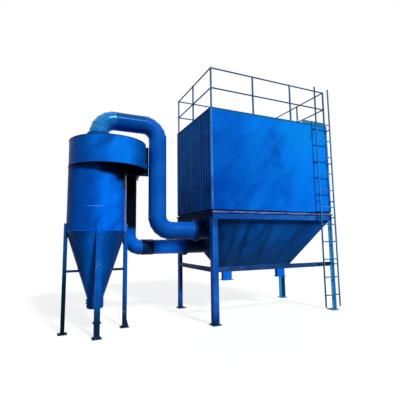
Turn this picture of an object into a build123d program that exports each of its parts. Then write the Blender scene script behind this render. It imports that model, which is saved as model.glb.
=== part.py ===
"""Cyclone separator with its bag filter house, joined by ducts into one fixed dust-cleaning plant.

Millimetres, +Z up. The origin is the bottom centre of the plant's bounding box.
The cyclone stands at -X, the filter house at +X, and the ladder is on the front, at -Y.
"""
import os
from math import cos, radians, sin

from build123d import *

os.makedirs("parts", exist_ok=True)

# Filter house: casing, roof and the flange that the casing sits on
casing_width = 2990
casing_depth = 1830
casing_height = 1996
panel_sheet = 5
rib_count = 16
rib_depth = 28
rib_sheet = 4
crest_share = 0.46
flank_share = 0.12
roof_sheet = 6
roof_overhang = 8
cover_count = 3
cover_height = 45
cover_margin = 130
cover_spacing = 60
cover_chamfer = 12
cover_sheet = 4
lip_height = 30
lip_reach = 20
sill_height = 35
sill_setback = 22
sill_plate = 6

# Filter house: steelwork
leg_height = 1930
leg_width = 115
leg_sheet = 12
base_plate = 180
base_plate_thickness = 16
base_bolt_pitch = 144
base_bolt_radius = 9
beam_height = 115
beam_flange = 44
beam_sheet = 8
tie_base_z = 940
tie_height = 88
tie_flange = 48
tie_sheet = 6

# Filter house: hopper and its two flat discharge spouts
hopper_base_z = 960
hopper_mouth_length = 1860
hopper_mouth_width = 200
hopper_wall = 6
trough_lip = 22
trough_plate = 12
spout_width = 210
spout_depth = 90
spout_wall = 5
spout_spacing = 1420
spout_base_z = 670
spout_flange_reach = 32
spout_flange_thickness = 12
spout_bolt_radius = 6

# Filter house: guard rail and ladder
post_size = 28
rail_radius = 14
rail_inset = 30
rail_height = 834
mid_rail_height = 408
front_bays = 3
side_bays = 2
ladder_standoff = 120
ladder_width = 396
ladder_end_gap = 226
ladder_base_z = 100
stile_size = 24
rung_radius = 12
rung_count = 11
rung_pitch = 374
first_rung_z = 346
bracket_size = 22
bracket_shares = (0.12, 0.55, 0.94)

# Cyclone body
cyclone_gap = 1980
cyclone_setback = 683
barrel_radius = 512
shell_sheet = 5
cone_base_z = 545
cone_neck_radius = 133
barrel_base_z = 1713
head_base_z = 2843
head_height = 485
head_plate = 6
head_rim = 8
inlet_width = 348
inlet_length = 640
joint_setback = 80
joint_reach = 48
joint_side_reach = 96
joint_thickness = 24
inlet_flange_width = 50
inlet_flange_thickness = 12
inlet_bolt_radius = 9
pot_radius = 143
pot_base_z = 378
pot_corner = 34
pot_wall = 6
pot_roll_steps = 4

# Cyclone steelwork
stand_width = 90
stand_depth = 64
stand_sheet = 7
stand_top_z = 1850
stand_proud = 36
stand_shifts = (0, -107, 0, -30)
foot_plate = 150
foot_thickness = 14
foot_bolt_pitch = 122
foot_bolt_radius = 8
strut_size = 40
strut_z = 1030
stay_size = 40
stay_z = 2960

# Ducts
outlet_radius = 175
duct_sheet = 4
finder_depth = 130
outlet_joint_z = 3485
outlet_run_z = 3800
outlet_drop_gap = 92
branch_below_beam = 203
outlet_bend_radius = 285
top_bend_cuts = 5
bend_cuts = 5
return_radius = 148
return_beside_barrel = 153
return_setback = 437
return_below_beam = 522
return_bend_radius = 250
duct_overreach = 480
return_joint_gap = 120
branch_joint_gap = 60
flange_reach = 40
flange_thickness = 26
gasket = 3
clean_outlet_inset = 620
clean_outlet_drop = 420
clean_outlet_length = 150
clean_flange_thickness = 14
clean_bolt_count = 8
clean_bolt_radius = 8

# Clearances
seat_gap = 0.3
bar_gap = 0.5
overrun = 40

# Places that follow from the sizes above
base_overhang = (base_plate - leg_width) / 2
stand_reach = barrel_radius + stand_proud
stand_centre = stand_reach - stand_depth / 2
left_reach = stand_centre + foot_plate / 2
length_overall = left_reach + cyclone_gap + casing_width + base_overhang
cyclone_x = left_reach - length_overall / 2
house_left = cyclone_x + cyclone_gap
house_right = house_left + casing_width
house_x = (house_left + house_right) / 2
front_reach = ladder_standoff + stile_size / 2
depth_overall = front_reach + casing_depth + clean_outlet_length
house_front = front_reach - depth_overall / 2
house_rear = house_front + casing_depth
house_y = (house_front + house_rear) / 2
cyclone_y = house_front + cyclone_setback

beam_top_z = leg_height + beam_height
sill_base_z = beam_top_z + lip_height
casing_base_z = sill_base_z + sill_height
casing_top_z = casing_base_z + casing_height
panel_top_z = casing_top_z - roof_sheet
panel_height = panel_top_z - casing_base_z
flange_depth = beam_flange + hopper_wall

head_top_z = head_base_z + head_height
head_wall_z = head_base_z + head_plate
head_wall_height = head_height - 2 * head_plate
scroll_radius = barrel_radius + inlet_width / 2
scroll_shift = inlet_width / 2
outlet_drop_reach = barrel_radius + inlet_width + outlet_drop_gap + outlet_radius
drop_x = cyclone_x + outlet_drop_reach
outlet_branch_z = leg_height - branch_below_beam
return_run_z = leg_height - return_below_beam
return_reach = barrel_radius + return_beside_barrel
return_x = cyclone_x + return_reach
return_y = cyclone_y + return_setback
return_joint_x = house_left - return_joint_gap
branch_joint_x = house_left - branch_joint_gap
clean_outlet_x = house_right - clean_outlet_inset
clean_outlet_z = casing_top_z - clean_outlet_drop

x_axis = Vector(1, 0, 0)
y_axis = Vector(0, 1, 0)
z_axis = Vector(0, 0, 1)
low = (Align.CENTER, Align.CENTER, Align.MIN)
from_corner = (Align.MIN, Align.MIN, Align.MIN)


def block(x_span, y_span, z_span):
    """A box between two places on each axis."""
    with BuildPart() as piece:
        with Locations((x_span[0], y_span[0], z_span[0])):
            Box(x_span[1] - x_span[0], y_span[1] - y_span[0], z_span[1] - z_span[0], align=from_corner)
    return piece.part


def rod(start, along, length, radius):
    """A round bar from a start point."""
    with BuildPart() as piece:
        with BuildSketch(Plane(origin=start, z_dir=along)):
            Circle(radius)
        extrude(amount=length)
    return piece.part


def pipe(start, along, length, radius, wall):
    """A straight pipe from a start point, its radius measured outside."""
    with BuildPart() as piece:
        with BuildSketch(Plane(origin=start, z_dir=along)):
            Circle(radius)
            Circle(radius - wall, mode=Mode.SUBTRACT)
        extrude(amount=length)
    return piece.part


def ring(start, along, length, inner_radius):
    """A flange ring round a duct."""
    return pipe(start, along, length, inner_radius + flange_reach, flange_reach - seat_gap)


def channel(start, along, length, height, flange, sheet):
    """A channel bar along one side of the house, its web on the outside and its flanges pointing in."""
    inward = z_axis.cross(along)
    with BuildPart() as piece:
        with BuildSketch(Plane(origin=start, x_dir=inward, z_dir=along)):
            Rectangle(flange, height, align=(Align.MIN, Align.MIN))
            with Locations((sheet, sheet)):
                Rectangle(flange, height - 2 * sheet, align=(Align.MIN, Align.MIN), mode=Mode.SUBTRACT)
        extrude(amount=length)
    return piece.part


def bend(corner, way_in, way_out, radius, tube_radius, cuts, lead):
    """A right-angled duct bend of straight gores, mitred at each cut; lead is straight duct before it."""
    centre = corner - way_in * radius + way_out * radius
    half_cut = radians(90 / (2 * cuts))
    points = [corner - way_in * (radius + lead)]
    for cut in range(cuts):
        turn = half_cut * (2 * cut + 1)
        spoke = way_in * sin(turn) - way_out * cos(turn)
        points.append(centre + spoke * (radius / cos(half_cut)))
    points.append(corner + way_out * radius)
    with BuildPart() as piece:
        with BuildLine():
            Polyline(*points)
        with BuildSketch(Plane(origin=points[0], z_dir=way_in)):
            Circle(tube_radius)
            Circle(tube_radius - duct_sheet, mode=Mode.SUBTRACT)
        sweep(transition=Transition.RIGHT)
    return piece.part


def trapezium(mouth, collar):
    """Half-width profile of the hopper, from its mouth up the slope to the top of its collar."""
    points = (
        (mouth / 2, hopper_base_z),
        (collar / 2, leg_height),
        (collar / 2, beam_top_z),
        (-collar / 2, beam_top_z),
        (-collar / 2, leg_height),
        (-mouth / 2, hopper_base_z),
    )
    with BuildSketch() as profile:
        with BuildLine():
            Polyline(*points, close=True)
        make_face()
    return profile.sketch


def hopper_body(inset):
    """The hopper's outline as a solid, drawn in by an inset on every side: a straight collar over a wedge."""
    drawn_in = 2 * (beam_flange + inset)
    with BuildPart() as piece:
        with BuildSketch(Plane(origin=(house_x, house_y, 0), x_dir=x_axis, z_dir=-y_axis)):
            add(trapezium(hopper_mouth_length - 2 * inset, casing_width - drawn_in))
        extrude(amount=casing_depth, both=True)
        with BuildSketch(Plane(origin=(house_x, house_y, 0), x_dir=y_axis, z_dir=x_axis)):
            add(trapezium(hopper_mouth_width - 2 * inset, casing_depth - drawn_in))
        extrude(amount=casing_width, both=True, mode=Mode.INTERSECT)
    return piece.part


def corner_places(reach):
    """The house's four corners, moved in by a reach along both sides, each with its outward signs."""
    places = []
    for side_x, edge_x in ((-1, house_left), (1, house_right)):
        for side_y, edge_y in ((-1, house_front), (1, house_rear)):
            places.append((edge_x - side_x * reach, edge_y - side_y * reach, side_x, side_y))
    return places


def side_runs(setback):
    """Start, direction and length of a line round the house, front, right, rear, left, at a setback."""
    near_x = house_left + setback
    far_x = house_right - setback
    near_y = house_front + setback
    far_y = house_rear - setback
    return (
        (Vector(near_x, near_y), x_axis, far_x - near_x),
        (Vector(far_x, near_y), y_axis, far_y - near_y),
        (Vector(far_x, far_y), -x_axis, far_x - near_x),
        (Vector(near_x, far_y), -y_axis, far_y - near_y),
    )


# Cyclone barrel: a plain rolled shell
with BuildPart() as cyclone_barrel:
    barrel_foot = Vector(cyclone_x, cyclone_y, barrel_base_z)
    add(pipe(barrel_foot, z_axis, head_base_z - barrel_base_z, barrel_radius, shell_sheet))
cyclone_barrel.part.label = "cyclone_barrel"
export_step(cyclone_barrel.part, "parts/cyclone_barrel.step")

# Cyclone cone: a tapered shell between the barrel and the dust pot
with BuildPart() as cyclone_cone:
    with Locations((cyclone_x, cyclone_y, cone_base_z)):
        cone_height = barrel_base_z - cone_base_z
        Cone(cone_neck_radius, barrel_radius, cone_height, align=low)
        Cone(
            cone_neck_radius - shell_sheet,
            barrel_radius - shell_sheet,
            cone_height,
            align=low,
            mode=Mode.SUBTRACT,
        )
cyclone_cone.part.label = "cyclone_cone"
export_step(cyclone_cone.part, "parts/cyclone_cone.step")

# Dust pot: a closed drum under the cone, its lower edge rolled in short tapers
with BuildPart() as dust_pot:
    pot_height = cone_base_z - pot_base_z
    neck_bore = cone_neck_radius - shell_sheet
    rolled_edge = []
    for step in range(pot_roll_steps + 1):
        turn = radians(90 * step / pot_roll_steps)
        rolled_x = pot_radius - pot_corner * (1 - sin(turn))
        rolled_edge.append((rolled_x, pot_base_z + pot_corner * (1 - cos(turn))))
    pot_profile = [(0, pot_base_z)] + rolled_edge + [
        (pot_radius, cone_base_z),
        (neck_bore, cone_base_z),
        (neck_bore, cone_base_z - pot_wall),
        (pot_radius - pot_wall, cone_base_z - pot_wall),
        (pot_radius - pot_wall, pot_base_z + pot_corner),
        (pot_radius - pot_corner, pot_base_z + pot_wall),
        (0, pot_base_z + pot_wall),
    ]
    with BuildSketch(Plane(origin=(cyclone_x, cyclone_y, 0), x_dir=x_axis, z_dir=-y_axis)):
        with BuildLine():
            Polyline(*pot_profile, close=True)
        make_face()
    revolve(axis=Axis((cyclone_x, cyclone_y, 0), (0, 0, 1)))
dust_pot.part.label = "dust_pot"
export_step(dust_pot.part, "parts/dust_pot.step")

# Volute head: the scroll wall runs from the barrel's left side round the front to the inlet's outer wall
with BuildPart() as volute_wall:
    with BuildSketch(Plane((cyclone_x + scroll_shift, cyclone_y, head_wall_z))):
        Circle(scroll_radius)
        Circle(scroll_radius - shell_sheet, mode=Mode.SUBTRACT)
        Rectangle(
            2 * scroll_radius,
            2 * scroll_radius,
            align=(Align.CENTER, Align.MIN),
            mode=Mode.SUBTRACT,
        )
    extrude(amount=head_wall_height)
volute_wall.part.label = "volute_wall"
export_step(volute_wall.part, "parts/volute_wall.step")

# Volute head: the rear half of the wall carries the barrel's own circle up to the roof
with BuildPart() as volute_rear_wall:
    with BuildSketch(Plane((cyclone_x, cyclone_y, head_wall_z))):
        Circle(barrel_radius)
        Circle(barrel_radius - shell_sheet, mode=Mode.SUBTRACT)
        Rectangle(
            2 * barrel_radius,
            2 * barrel_radius,
            align=(Align.CENTER, Align.MAX),
            mode=Mode.SUBTRACT,
        )
    extrude(amount=head_wall_height)
volute_rear_wall.part.label = "volute_rear_wall"
export_step(volute_rear_wall.part, "parts/volute_rear_wall.step")

# Volute head: the two straight walls of the tangential inlet
inlet_inner_x = cyclone_x + barrel_radius
inlet_outer_x = inlet_inner_x + inlet_width
inlet_end_y = cyclone_y + inlet_length
with BuildPart() as inlet_walls:
    wall_y = (cyclone_y, inlet_end_y)
    wall_z = (head_wall_z, head_wall_z + head_wall_height)
    add(block((inlet_inner_x, inlet_inner_x + shell_sheet), wall_y, wall_z))
    add(block((inlet_outer_x - shell_sheet, inlet_outer_x), wall_y, wall_z))
inlet_walls.part.label = "inlet_walls"
export_step(inlet_walls.part, "parts/inlet_walls.step")


def head_outline(rim):
    """The volute's plan: the scroll in front, the barrel's circle behind and the straight inlet."""
    with BuildSketch() as outline:
        with Locations((scroll_shift, 0)):
            Circle(scroll_radius + rim)
            Rectangle(
                2 * (scroll_radius + rim),
                2 * (scroll_radius + rim),
                align=(Align.CENTER, Align.MIN),
                mode=Mode.SUBTRACT,
            )
        with BuildSketch(mode=Mode.PRIVATE) as rear:
            Circle(barrel_radius + rim)
            Rectangle(
                2 * (barrel_radius + rim),
                2 * (barrel_radius + rim),
                align=(Align.CENTER, Align.MAX),
                mode=Mode.SUBTRACT,
            )
        add(rear.sketch)
        with Locations((barrel_radius, 0)):
            Rectangle(inlet_width + rim, inlet_length, align=(Align.MIN, Align.MIN))
    return outline.sketch


# Volute roof: one plate over the scroll and the inlet, with the hole for the outlet neck
with BuildPart() as volute_roof:
    with BuildSketch(Plane((cyclone_x, cyclone_y, head_top_z - head_plate))):
        add(head_outline(head_rim))
        Circle(outlet_radius + seat_gap, mode=Mode.SUBTRACT)
    extrude(amount=head_plate)
volute_roof.part.label = "volute_roof"
export_step(volute_roof.part, "parts/volute_roof.step")

# Volute floor: the same plan with the barrel's mouth and the riser's hole cut out
with BuildPart() as volute_floor:
    with BuildSketch(Plane((cyclone_x, cyclone_y, head_base_z))):
        add(head_outline(head_rim))
        Circle(barrel_radius - shell_sheet, mode=Mode.SUBTRACT)
        with Locations((return_reach, return_setback)):
            Circle(return_radius - duct_sheet, mode=Mode.SUBTRACT)
    extrude(amount=head_plate)
volute_floor.part.label = "volute_floor"
export_step(volute_floor.part, "parts/volute_floor.step")

# Inlet joint: flange bars standing proud over, under and outside the inlet, close behind the scroll
with BuildPart() as inlet_joint:
    joint_y = (cyclone_y + joint_setback, cyclone_y + joint_setback + joint_thickness)
    joint_out_x = inlet_outer_x + head_rim
    joint_x = (inlet_inner_x, joint_out_x + joint_side_reach)
    add(block(joint_x, joint_y, (head_top_z, head_top_z + joint_reach)))
    add(block(joint_x, joint_y, (head_base_z - joint_reach, head_base_z)))
    add(
        block(
            (joint_out_x, joint_out_x + joint_side_reach),
            joint_y,
            (head_base_z + bar_gap, head_top_z - bar_gap),
        )
    )
inlet_joint.part.label = "inlet_joint"
export_step(inlet_joint.part, "parts/inlet_joint.step")

# Inlet flange: four bars that frame the open rear end of the inlet, bolt holes at the corners
with BuildPart() as inlet_flange:
    frame_y = (inlet_end_y, inlet_end_y + inlet_flange_thickness)
    clear_x = (inlet_inner_x + shell_sheet, inlet_outer_x - shell_sheet)
    clear_z = (head_wall_z, head_wall_z + head_wall_height)
    frame_x = (clear_x[0] - inlet_flange_width, clear_x[1] + inlet_flange_width)
    frame_low = clear_z[0] - inlet_flange_width
    frame_high = clear_z[1] + inlet_flange_width
    add(block(frame_x, frame_y, (frame_low, clear_z[0])))
    add(block(frame_x, frame_y, (clear_z[1], frame_high)))
    side_z = (clear_z[0] + bar_gap, clear_z[1] - bar_gap)
    add(block((frame_x[0], clear_x[0]), frame_y, side_z))
    add(block((clear_x[1], frame_x[1]), frame_y, side_z))
    for bolt_x in (frame_x[0] + inlet_flange_width / 2, frame_x[1] - inlet_flange_width / 2):
        for bolt_z in (frame_low + inlet_flange_width / 2, frame_high - inlet_flange_width / 2):
            hole_start = Vector(bolt_x, inlet_end_y - overrun, bolt_z)
            add(rod(hole_start, y_axis, 2 * overrun, inlet_bolt_radius), mode=Mode.SUBTRACT)
inlet_flange.part.label = "inlet_flange"
export_step(inlet_flange.part, "parts/inlet_flange.step")

# Vortex finder: the outlet neck, from inside the barrel up through the roof to the first joint
with BuildPart() as vortex_finder:
    finder_base_z = head_base_z - finder_depth
    finder_start = Vector(cyclone_x, cyclone_y, finder_base_z)
    add(pipe(finder_start, z_axis, outlet_joint_z - finder_base_z, outlet_radius, duct_sheet))
vortex_finder.part.label = "vortex_finder"
export_step(vortex_finder.part, "parts/vortex_finder.step")

# Cyclone legs: right, rear, left and front channels with their toes fitted to the barrel, the rear and
# front ones set over from the centre line, each on a drilled foot plate
with BuildPart() as cyclone_legs:
    for quarter, shift in enumerate(stand_shifts):
        with BuildPart(mode=Mode.PRIVATE) as stand:
            with BuildSketch(Plane((stand_reach, shift, foot_thickness))):
                Rectangle(stand_depth, stand_width, align=(Align.MAX, Align.CENTER))
                with Locations((-stand_sheet, 0)):
                    Rectangle(
                        stand_depth,
                        stand_width - 2 * stand_sheet,
                        align=(Align.MAX, Align.CENTER),
                        mode=Mode.SUBTRACT,
                    )
            extrude(amount=stand_top_z - foot_thickness)
            with Locations((0, 0, barrel_base_z)):
                Cylinder(
                    barrel_radius + seat_gap,
                    stand_top_z - barrel_base_z + overrun,
                    align=low,
                    mode=Mode.SUBTRACT,
                )
            with Locations((0, 0, cone_base_z)):
                Cone(
                    cone_neck_radius + seat_gap,
                    barrel_radius + seat_gap,
                    cone_height,
                    align=low,
                    mode=Mode.SUBTRACT,
                )
            with Locations((stand_centre, shift, 0)):
                Box(foot_plate, foot_plate, foot_thickness, align=low)
            for side in (-1, 1):
                with Locations((stand_centre, shift + side * foot_bolt_pitch / 2, 0)):
                    Cylinder(foot_bolt_radius, 2 * overrun, mode=Mode.SUBTRACT)
        add(stand.part.rotate(Axis.Z, 90 * quarter).translate((cyclone_x, cyclone_y, 0)))
cyclone_legs.part.label = "cyclone_legs"
export_step(cyclone_legs.part, "parts/cyclone_legs.step")

# Cone struts: a short bar from each leg's web to the cone
with BuildPart() as cone_struts:
    strut_end = stand_reach - stand_sheet
    for quarter, shift in enumerate(stand_shifts):
        with BuildPart(mode=Mode.PRIVATE) as strut:
            with Locations((strut_end, shift, strut_z)):
                Box(strut_end, strut_size, strut_size, align=(Align.MAX, Align.CENTER, Align.CENTER))
            with Locations((0, 0, cone_base_z)):
                Cone(cone_neck_radius, barrel_radius, cone_height, align=low, mode=Mode.SUBTRACT)
        add(strut.part.rotate(Axis.Z, 90 * quarter).translate((cyclone_x, cyclone_y, 0)))
cone_struts.part.label = "cone_struts"
export_step(cone_struts.part, "parts/cone_struts.step")

# Outlet duct: bend off the neck, run across, bend down, drop, bend to the hopper, branch to its wall
with BuildPart() as outlet_bend_top:
    top_corner = Vector(cyclone_x, cyclone_y, outlet_run_z)
    top_lead = outlet_run_z - outlet_bend_radius - outlet_joint_z
    add(bend(top_corner, z_axis, x_axis, outlet_bend_radius, outlet_radius, top_bend_cuts, top_lead))
outlet_bend_top.part.label = "outlet_bend_top"
export_step(outlet_bend_top.part, "parts/outlet_bend_top.step")

with BuildPart() as outlet_crossover:
    crossover_start = Vector(cyclone_x + outlet_bend_radius, cyclone_y, outlet_run_z)
    crossover_length = outlet_drop_reach - 2 * outlet_bend_radius
    add(pipe(crossover_start, x_axis, crossover_length, outlet_radius, duct_sheet))
outlet_crossover.part.label = "outlet_crossover"
export_step(outlet_crossover.part, "parts/outlet_crossover.step")

with BuildPart() as outlet_bend_down:
    down_corner = Vector(drop_x, cyclone_y, outlet_run_z)
    add(bend(down_corner, x_axis, -z_axis, outlet_bend_radius, outlet_radius, bend_cuts, 0))
outlet_bend_down.part.label = "outlet_bend_down"
export_step(outlet_bend_down.part, "parts/outlet_bend_down.step")

with BuildPart() as outlet_drop:
    drop_base = Vector(drop_x, cyclone_y, outlet_branch_z + outlet_bend_radius)
    drop_length = outlet_run_z - outlet_branch_z - 2 * outlet_bend_radius
    add(pipe(drop_base, z_axis, drop_length, outlet_radius, duct_sheet))
outlet_drop.part.label = "outlet_drop"
export_step(outlet_drop.part, "parts/outlet_drop.step")

with BuildPart() as outlet_bend_bottom:
    low_corner = Vector(drop_x, cyclone_y, outlet_branch_z)
    add(bend(low_corner, -z_axis, x_axis, outlet_bend_radius, outlet_radius, bend_cuts, 0))
outlet_bend_bottom.part.label = "outlet_bend_bottom"
export_step(outlet_bend_bottom.part, "parts/outlet_bend_bottom.step")

with BuildPart() as outlet_branch:
    branch_start = Vector(drop_x + outlet_bend_radius, cyclone_y, outlet_branch_z)
    branch_length = house_left + duct_overreach - branch_start.X
    add(pipe(branch_start, x_axis, branch_length, outlet_radius, duct_sheet))
    add(hopper_body(0), mode=Mode.SUBTRACT)
outlet_branch.part.label = "outlet_branch"
export_step(outlet_branch.part, "parts/outlet_branch.step")

# Lower duct: riser under the inlet, bend and run to the hopper's left wall
with BuildPart() as inlet_riser:
    riser_base = Vector(return_x, return_y, return_run_z + return_bend_radius)
    add(pipe(riser_base, z_axis, head_base_z - riser_base.Z, return_radius, duct_sheet))
inlet_riser.part.label = "inlet_riser"
export_step(inlet_riser.part, "parts/inlet_riser.step")

with BuildPart() as inlet_bend:
    return_corner = Vector(return_x, return_y, return_run_z)
    add(bend(return_corner, -z_axis, x_axis, return_bend_radius, return_radius, bend_cuts, 0))
inlet_bend.part.label = "inlet_bend"
export_step(inlet_bend.part, "parts/inlet_bend.step")

with BuildPart() as inlet_run:
    run_start = Vector(return_x + return_bend_radius, return_y, return_run_z)
    add(pipe(run_start, x_axis, house_left + duct_overreach - run_start.X, return_radius, duct_sheet))
    add(hopper_body(0), mode=Mode.SUBTRACT)
inlet_run.part.label = "inlet_run"
export_step(inlet_run.part, "parts/inlet_run.step")

# Duct flanges: a pair of rings at each bolted joint, and one ring under the volute floor
with BuildPart() as duct_flanges:
    neck_joint = Vector(cyclone_x, cyclone_y, outlet_joint_z)
    branch_joint = Vector(branch_joint_x, cyclone_y, outlet_branch_z)
    run_joint = Vector(return_joint_x, return_y, return_run_z)
    for joint, along, radius in (
        (neck_joint, z_axis, outlet_radius),
        (branch_joint, x_axis, outlet_radius),
        (run_joint, x_axis, return_radius),
    ):
        add(ring(joint + along * (gasket / 2), along, flange_thickness, radius))
        add(ring(joint - along * (gasket / 2), -along, flange_thickness, radius))
    add(ring(Vector(return_x, return_y, head_base_z), -z_axis, flange_thickness, return_radius))
duct_flanges.part.label = "duct_flanges"
export_step(duct_flanges.part, "parts/duct_flanges.step")

# Duct stay: a short bar that holds the drop duct to the volute wall
with BuildPart() as duct_stay:
    stay_y = (cyclone_y - stay_size, cyclone_y)
    add(block((inlet_outer_x - overrun, drop_x), stay_y, (stay_z, stay_z + stay_size)))
    drop_solid = rod(Vector(drop_x, cyclone_y, stay_z - overrun), z_axis, 3 * overrun, outlet_radius)
    add(drop_solid, mode=Mode.SUBTRACT)
    scroll_foot = Vector(cyclone_x + scroll_shift, cyclone_y, stay_z - overrun)
    add(rod(scroll_foot, z_axis, 3 * overrun, scroll_radius), mode=Mode.SUBTRACT)
duct_stay.part.label = "duct_stay"
export_step(duct_stay.part, "parts/duct_stay.step")

# Casing: plain front sheet across the full width
with BuildPart() as casing_front:
    front_y = (house_front, house_front + panel_sheet)
    add(block((house_left, house_right), front_y, (casing_base_z, panel_top_z)))
casing_front.part.label = "casing_front"
export_step(casing_front.part, "parts/casing_front.step")

# Casing: plain rear sheet with the hole for the clean gas outlet
with BuildPart() as casing_rear:
    rear_y = (house_rear - panel_sheet, house_rear)
    add(block((house_left, house_right), rear_y, (casing_base_z, panel_top_z)))
    clean_start = Vector(clean_outlet_x, house_rear - panel_sheet, clean_outlet_z)
    add(rod(clean_start, y_axis, clean_outlet_length, outlet_radius + seat_gap), mode=Mode.SUBTRACT)
casing_rear.part.label = "casing_rear"
export_step(casing_rear.part, "parts/casing_rear.step")


def ribbed_panel(outer_x, inward):
    """A side sheet pressed into upright ribs, between the front and rear sheets."""
    start_y = house_front + panel_sheet
    pitch = (casing_depth - 2 * panel_sheet) / rib_count
    valley_share = 1 - crest_share - 2 * flank_share
    outline = []
    for rib in range(rib_count):
        rib_y = start_y + rib * pitch
        rise_y = rib_y + pitch * valley_share / 2
        crest_y = rise_y + pitch * flank_share
        fall_y = crest_y + pitch * crest_share
        end_y = fall_y + pitch * flank_share
        outline += [(rib_depth, rise_y), (0, crest_y), (0, fall_y), (rib_depth, end_y)]
    outline = [(rib_depth, start_y)] + outline + [(rib_depth, house_rear - panel_sheet)]
    back = [(depth + rib_sheet, place) for depth, place in reversed(outline)]
    corners = [(outer_x + inward * depth, place) for depth, place in outline + back]
    with BuildPart() as piece:
        with BuildSketch(Plane((0, 0, casing_base_z))):
            with BuildLine():
                Polyline(*corners, close=True)
            make_face()
        extrude(amount=panel_height)
    return piece.part


# Casing: ribbed left and right sheets
with BuildPart() as casing_left:
    add(ribbed_panel(house_left, 1))
casing_left.part.label = "casing_left"
export_step(casing_left.part, "parts/casing_left.step")

with BuildPart() as casing_right:
    add(ribbed_panel(house_right, -1))
casing_right.part.label = "casing_right"
export_step(casing_right.part, "parts/casing_right.step")

# Casing roof: a flat deck that laps a little over the sheets
with BuildPart() as casing_roof:
    with Locations((house_x, house_y, panel_top_z)):
        Box(casing_width + 2 * roof_overhang, casing_depth + 2 * roof_overhang, roof_sheet, align=low)
casing_roof.part.label = "casing_roof"
export_step(casing_roof.part, "parts/casing_roof.step")

# Roof covers: low lids over the bag chambers
with BuildPart() as roof_covers:
    cover_depth = casing_depth - 2 * cover_margin
    cover_area = casing_width - 2 * cover_margin
    cover_width = (cover_area - (cover_count - 1) * cover_spacing) / cover_count
    for cover in range(cover_count):
        cover_x = house_left + cover_margin + cover * (cover_width + cover_spacing) + cover_width / 2
        with Locations((cover_x, house_y, casing_top_z)):
            Box(cover_width, cover_depth, cover_height, align=low)
    chamfer(roof_covers.edges().group_by(Axis.Z)[-1], cover_chamfer)
    for cover in range(cover_count):
        cover_x = house_left + cover_margin + cover * (cover_width + cover_spacing) + cover_width / 2
        with Locations((cover_x, house_y, casing_top_z)):
            Box(
                cover_width - 2 * cover_chamfer,
                cover_depth - 2 * cover_chamfer,
                cover_height - cover_sheet,
                align=low,
                mode=Mode.SUBTRACT,
            )
roof_covers.part.label = "roof_covers"
export_step(roof_covers.part, "parts/roof_covers.step")

# Base flange: lip bars between the steelwork and the casing, with a setback sill under the sheets
with BuildPart() as base_flange:
    for edge_y, inward in ((house_front, 1), (house_rear, -1)):
        lip_y = sorted((edge_y - inward * lip_reach, edge_y + inward * flange_depth))
        sill_y = sorted((edge_y + inward * sill_setback, edge_y + inward * flange_depth))
        seat_y = sorted((edge_y, edge_y + inward * flange_depth))
        add(block((house_left - lip_reach, house_right + lip_reach), lip_y, (beam_top_z, sill_base_z)))
        sill_x = (house_left + sill_setback, house_right - sill_setback)
        add(block(sill_x, sill_y, (sill_base_z, casing_base_z)))
        seat_z = (casing_base_z - sill_plate, casing_base_z)
        add(block((house_left, house_right), seat_y, seat_z))
    for edge_x, inward in ((house_left, 1), (house_right, -1)):
        side_y = (house_front + flange_depth + bar_gap, house_rear - flange_depth - bar_gap)
        lip_x = sorted((edge_x - inward * lip_reach, edge_x + inward * flange_depth))
        sill_x = sorted((edge_x + inward * sill_setback, edge_x + inward * flange_depth))
        seat_x = sorted((edge_x, edge_x + inward * flange_depth))
        add(block(lip_x, side_y, (beam_top_z, sill_base_z)))
        add(block(sill_x, side_y, (sill_base_z, casing_base_z)))
        add(block(seat_x, side_y, seat_z))
base_flange.part.label = "base_flange"
export_step(base_flange.part, "parts/base_flange.step")

# Ring beam: four channels on top of the legs, the side ones between the front and rear ones
with BuildPart() as ring_beam:
    for run, (start, along, length) in enumerate(side_runs(0)):
        trim = (run % 2) * (beam_flange + bar_gap)
        beam_start = start + along * trim + z_axis * leg_height
        add(channel(beam_start, along, length - 2 * trim, beam_height, beam_flange, beam_sheet))
ring_beam.part.label = "ring_beam"
export_step(ring_beam.part, "parts/ring_beam.step")

# Hopper: a straight collar inside the ring beam over a wedge, with the two duct holes in its left wall
with BuildPart() as hopper:
    add(hopper_body(0))
    add(hopper_body(hopper_wall), mode=Mode.SUBTRACT)
    branch_hole = Vector(house_left, cyclone_y, outlet_branch_z)
    add(rod(branch_hole, x_axis, duct_overreach, outlet_radius - duct_sheet), mode=Mode.SUBTRACT)
    run_hole = Vector(house_left, return_y, return_run_z)
    add(rod(run_hole, x_axis, duct_overreach, return_radius - duct_sheet), mode=Mode.SUBTRACT)
hopper.part.label = "hopper"
export_step(hopper.part, "parts/hopper.step")

# Hopper floor: plates under the mouth, laid round the two spout holes
spout_x = (house_x - spout_spacing / 2, house_x + spout_spacing / 2)
chute = spout_width / 2
chute_clear = chute - spout_wall
chute_back = spout_depth / 2
back_clear = chute_back - spout_wall
with BuildPart() as hopper_floor:
    floor_z = (hopper_base_z - trough_plate, hopper_base_z)
    floor_end = hopper_mouth_length / 2 + trough_lip
    floor_edge = hopper_mouth_width / 2 + trough_lip
    floor_x = (house_x - floor_end, house_x + floor_end)
    add(block(floor_x, (house_y - floor_edge, house_y - back_clear), floor_z))
    add(block(floor_x, (house_y + back_clear, house_y + floor_edge), floor_z))
    between_y = (house_y - back_clear + bar_gap, house_y + back_clear - bar_gap)
    for near_x, far_x in (
        (floor_x[0], spout_x[0] - chute_clear),
        (spout_x[0] + chute_clear, spout_x[1] - chute_clear),
        (spout_x[1] + chute_clear, floor_x[1]),
    ):
        add(block((near_x, far_x), between_y, floor_z))
hopper_floor.part.label = "hopper_floor"
export_step(hopper_floor.part, "parts/hopper_floor.step")

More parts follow.
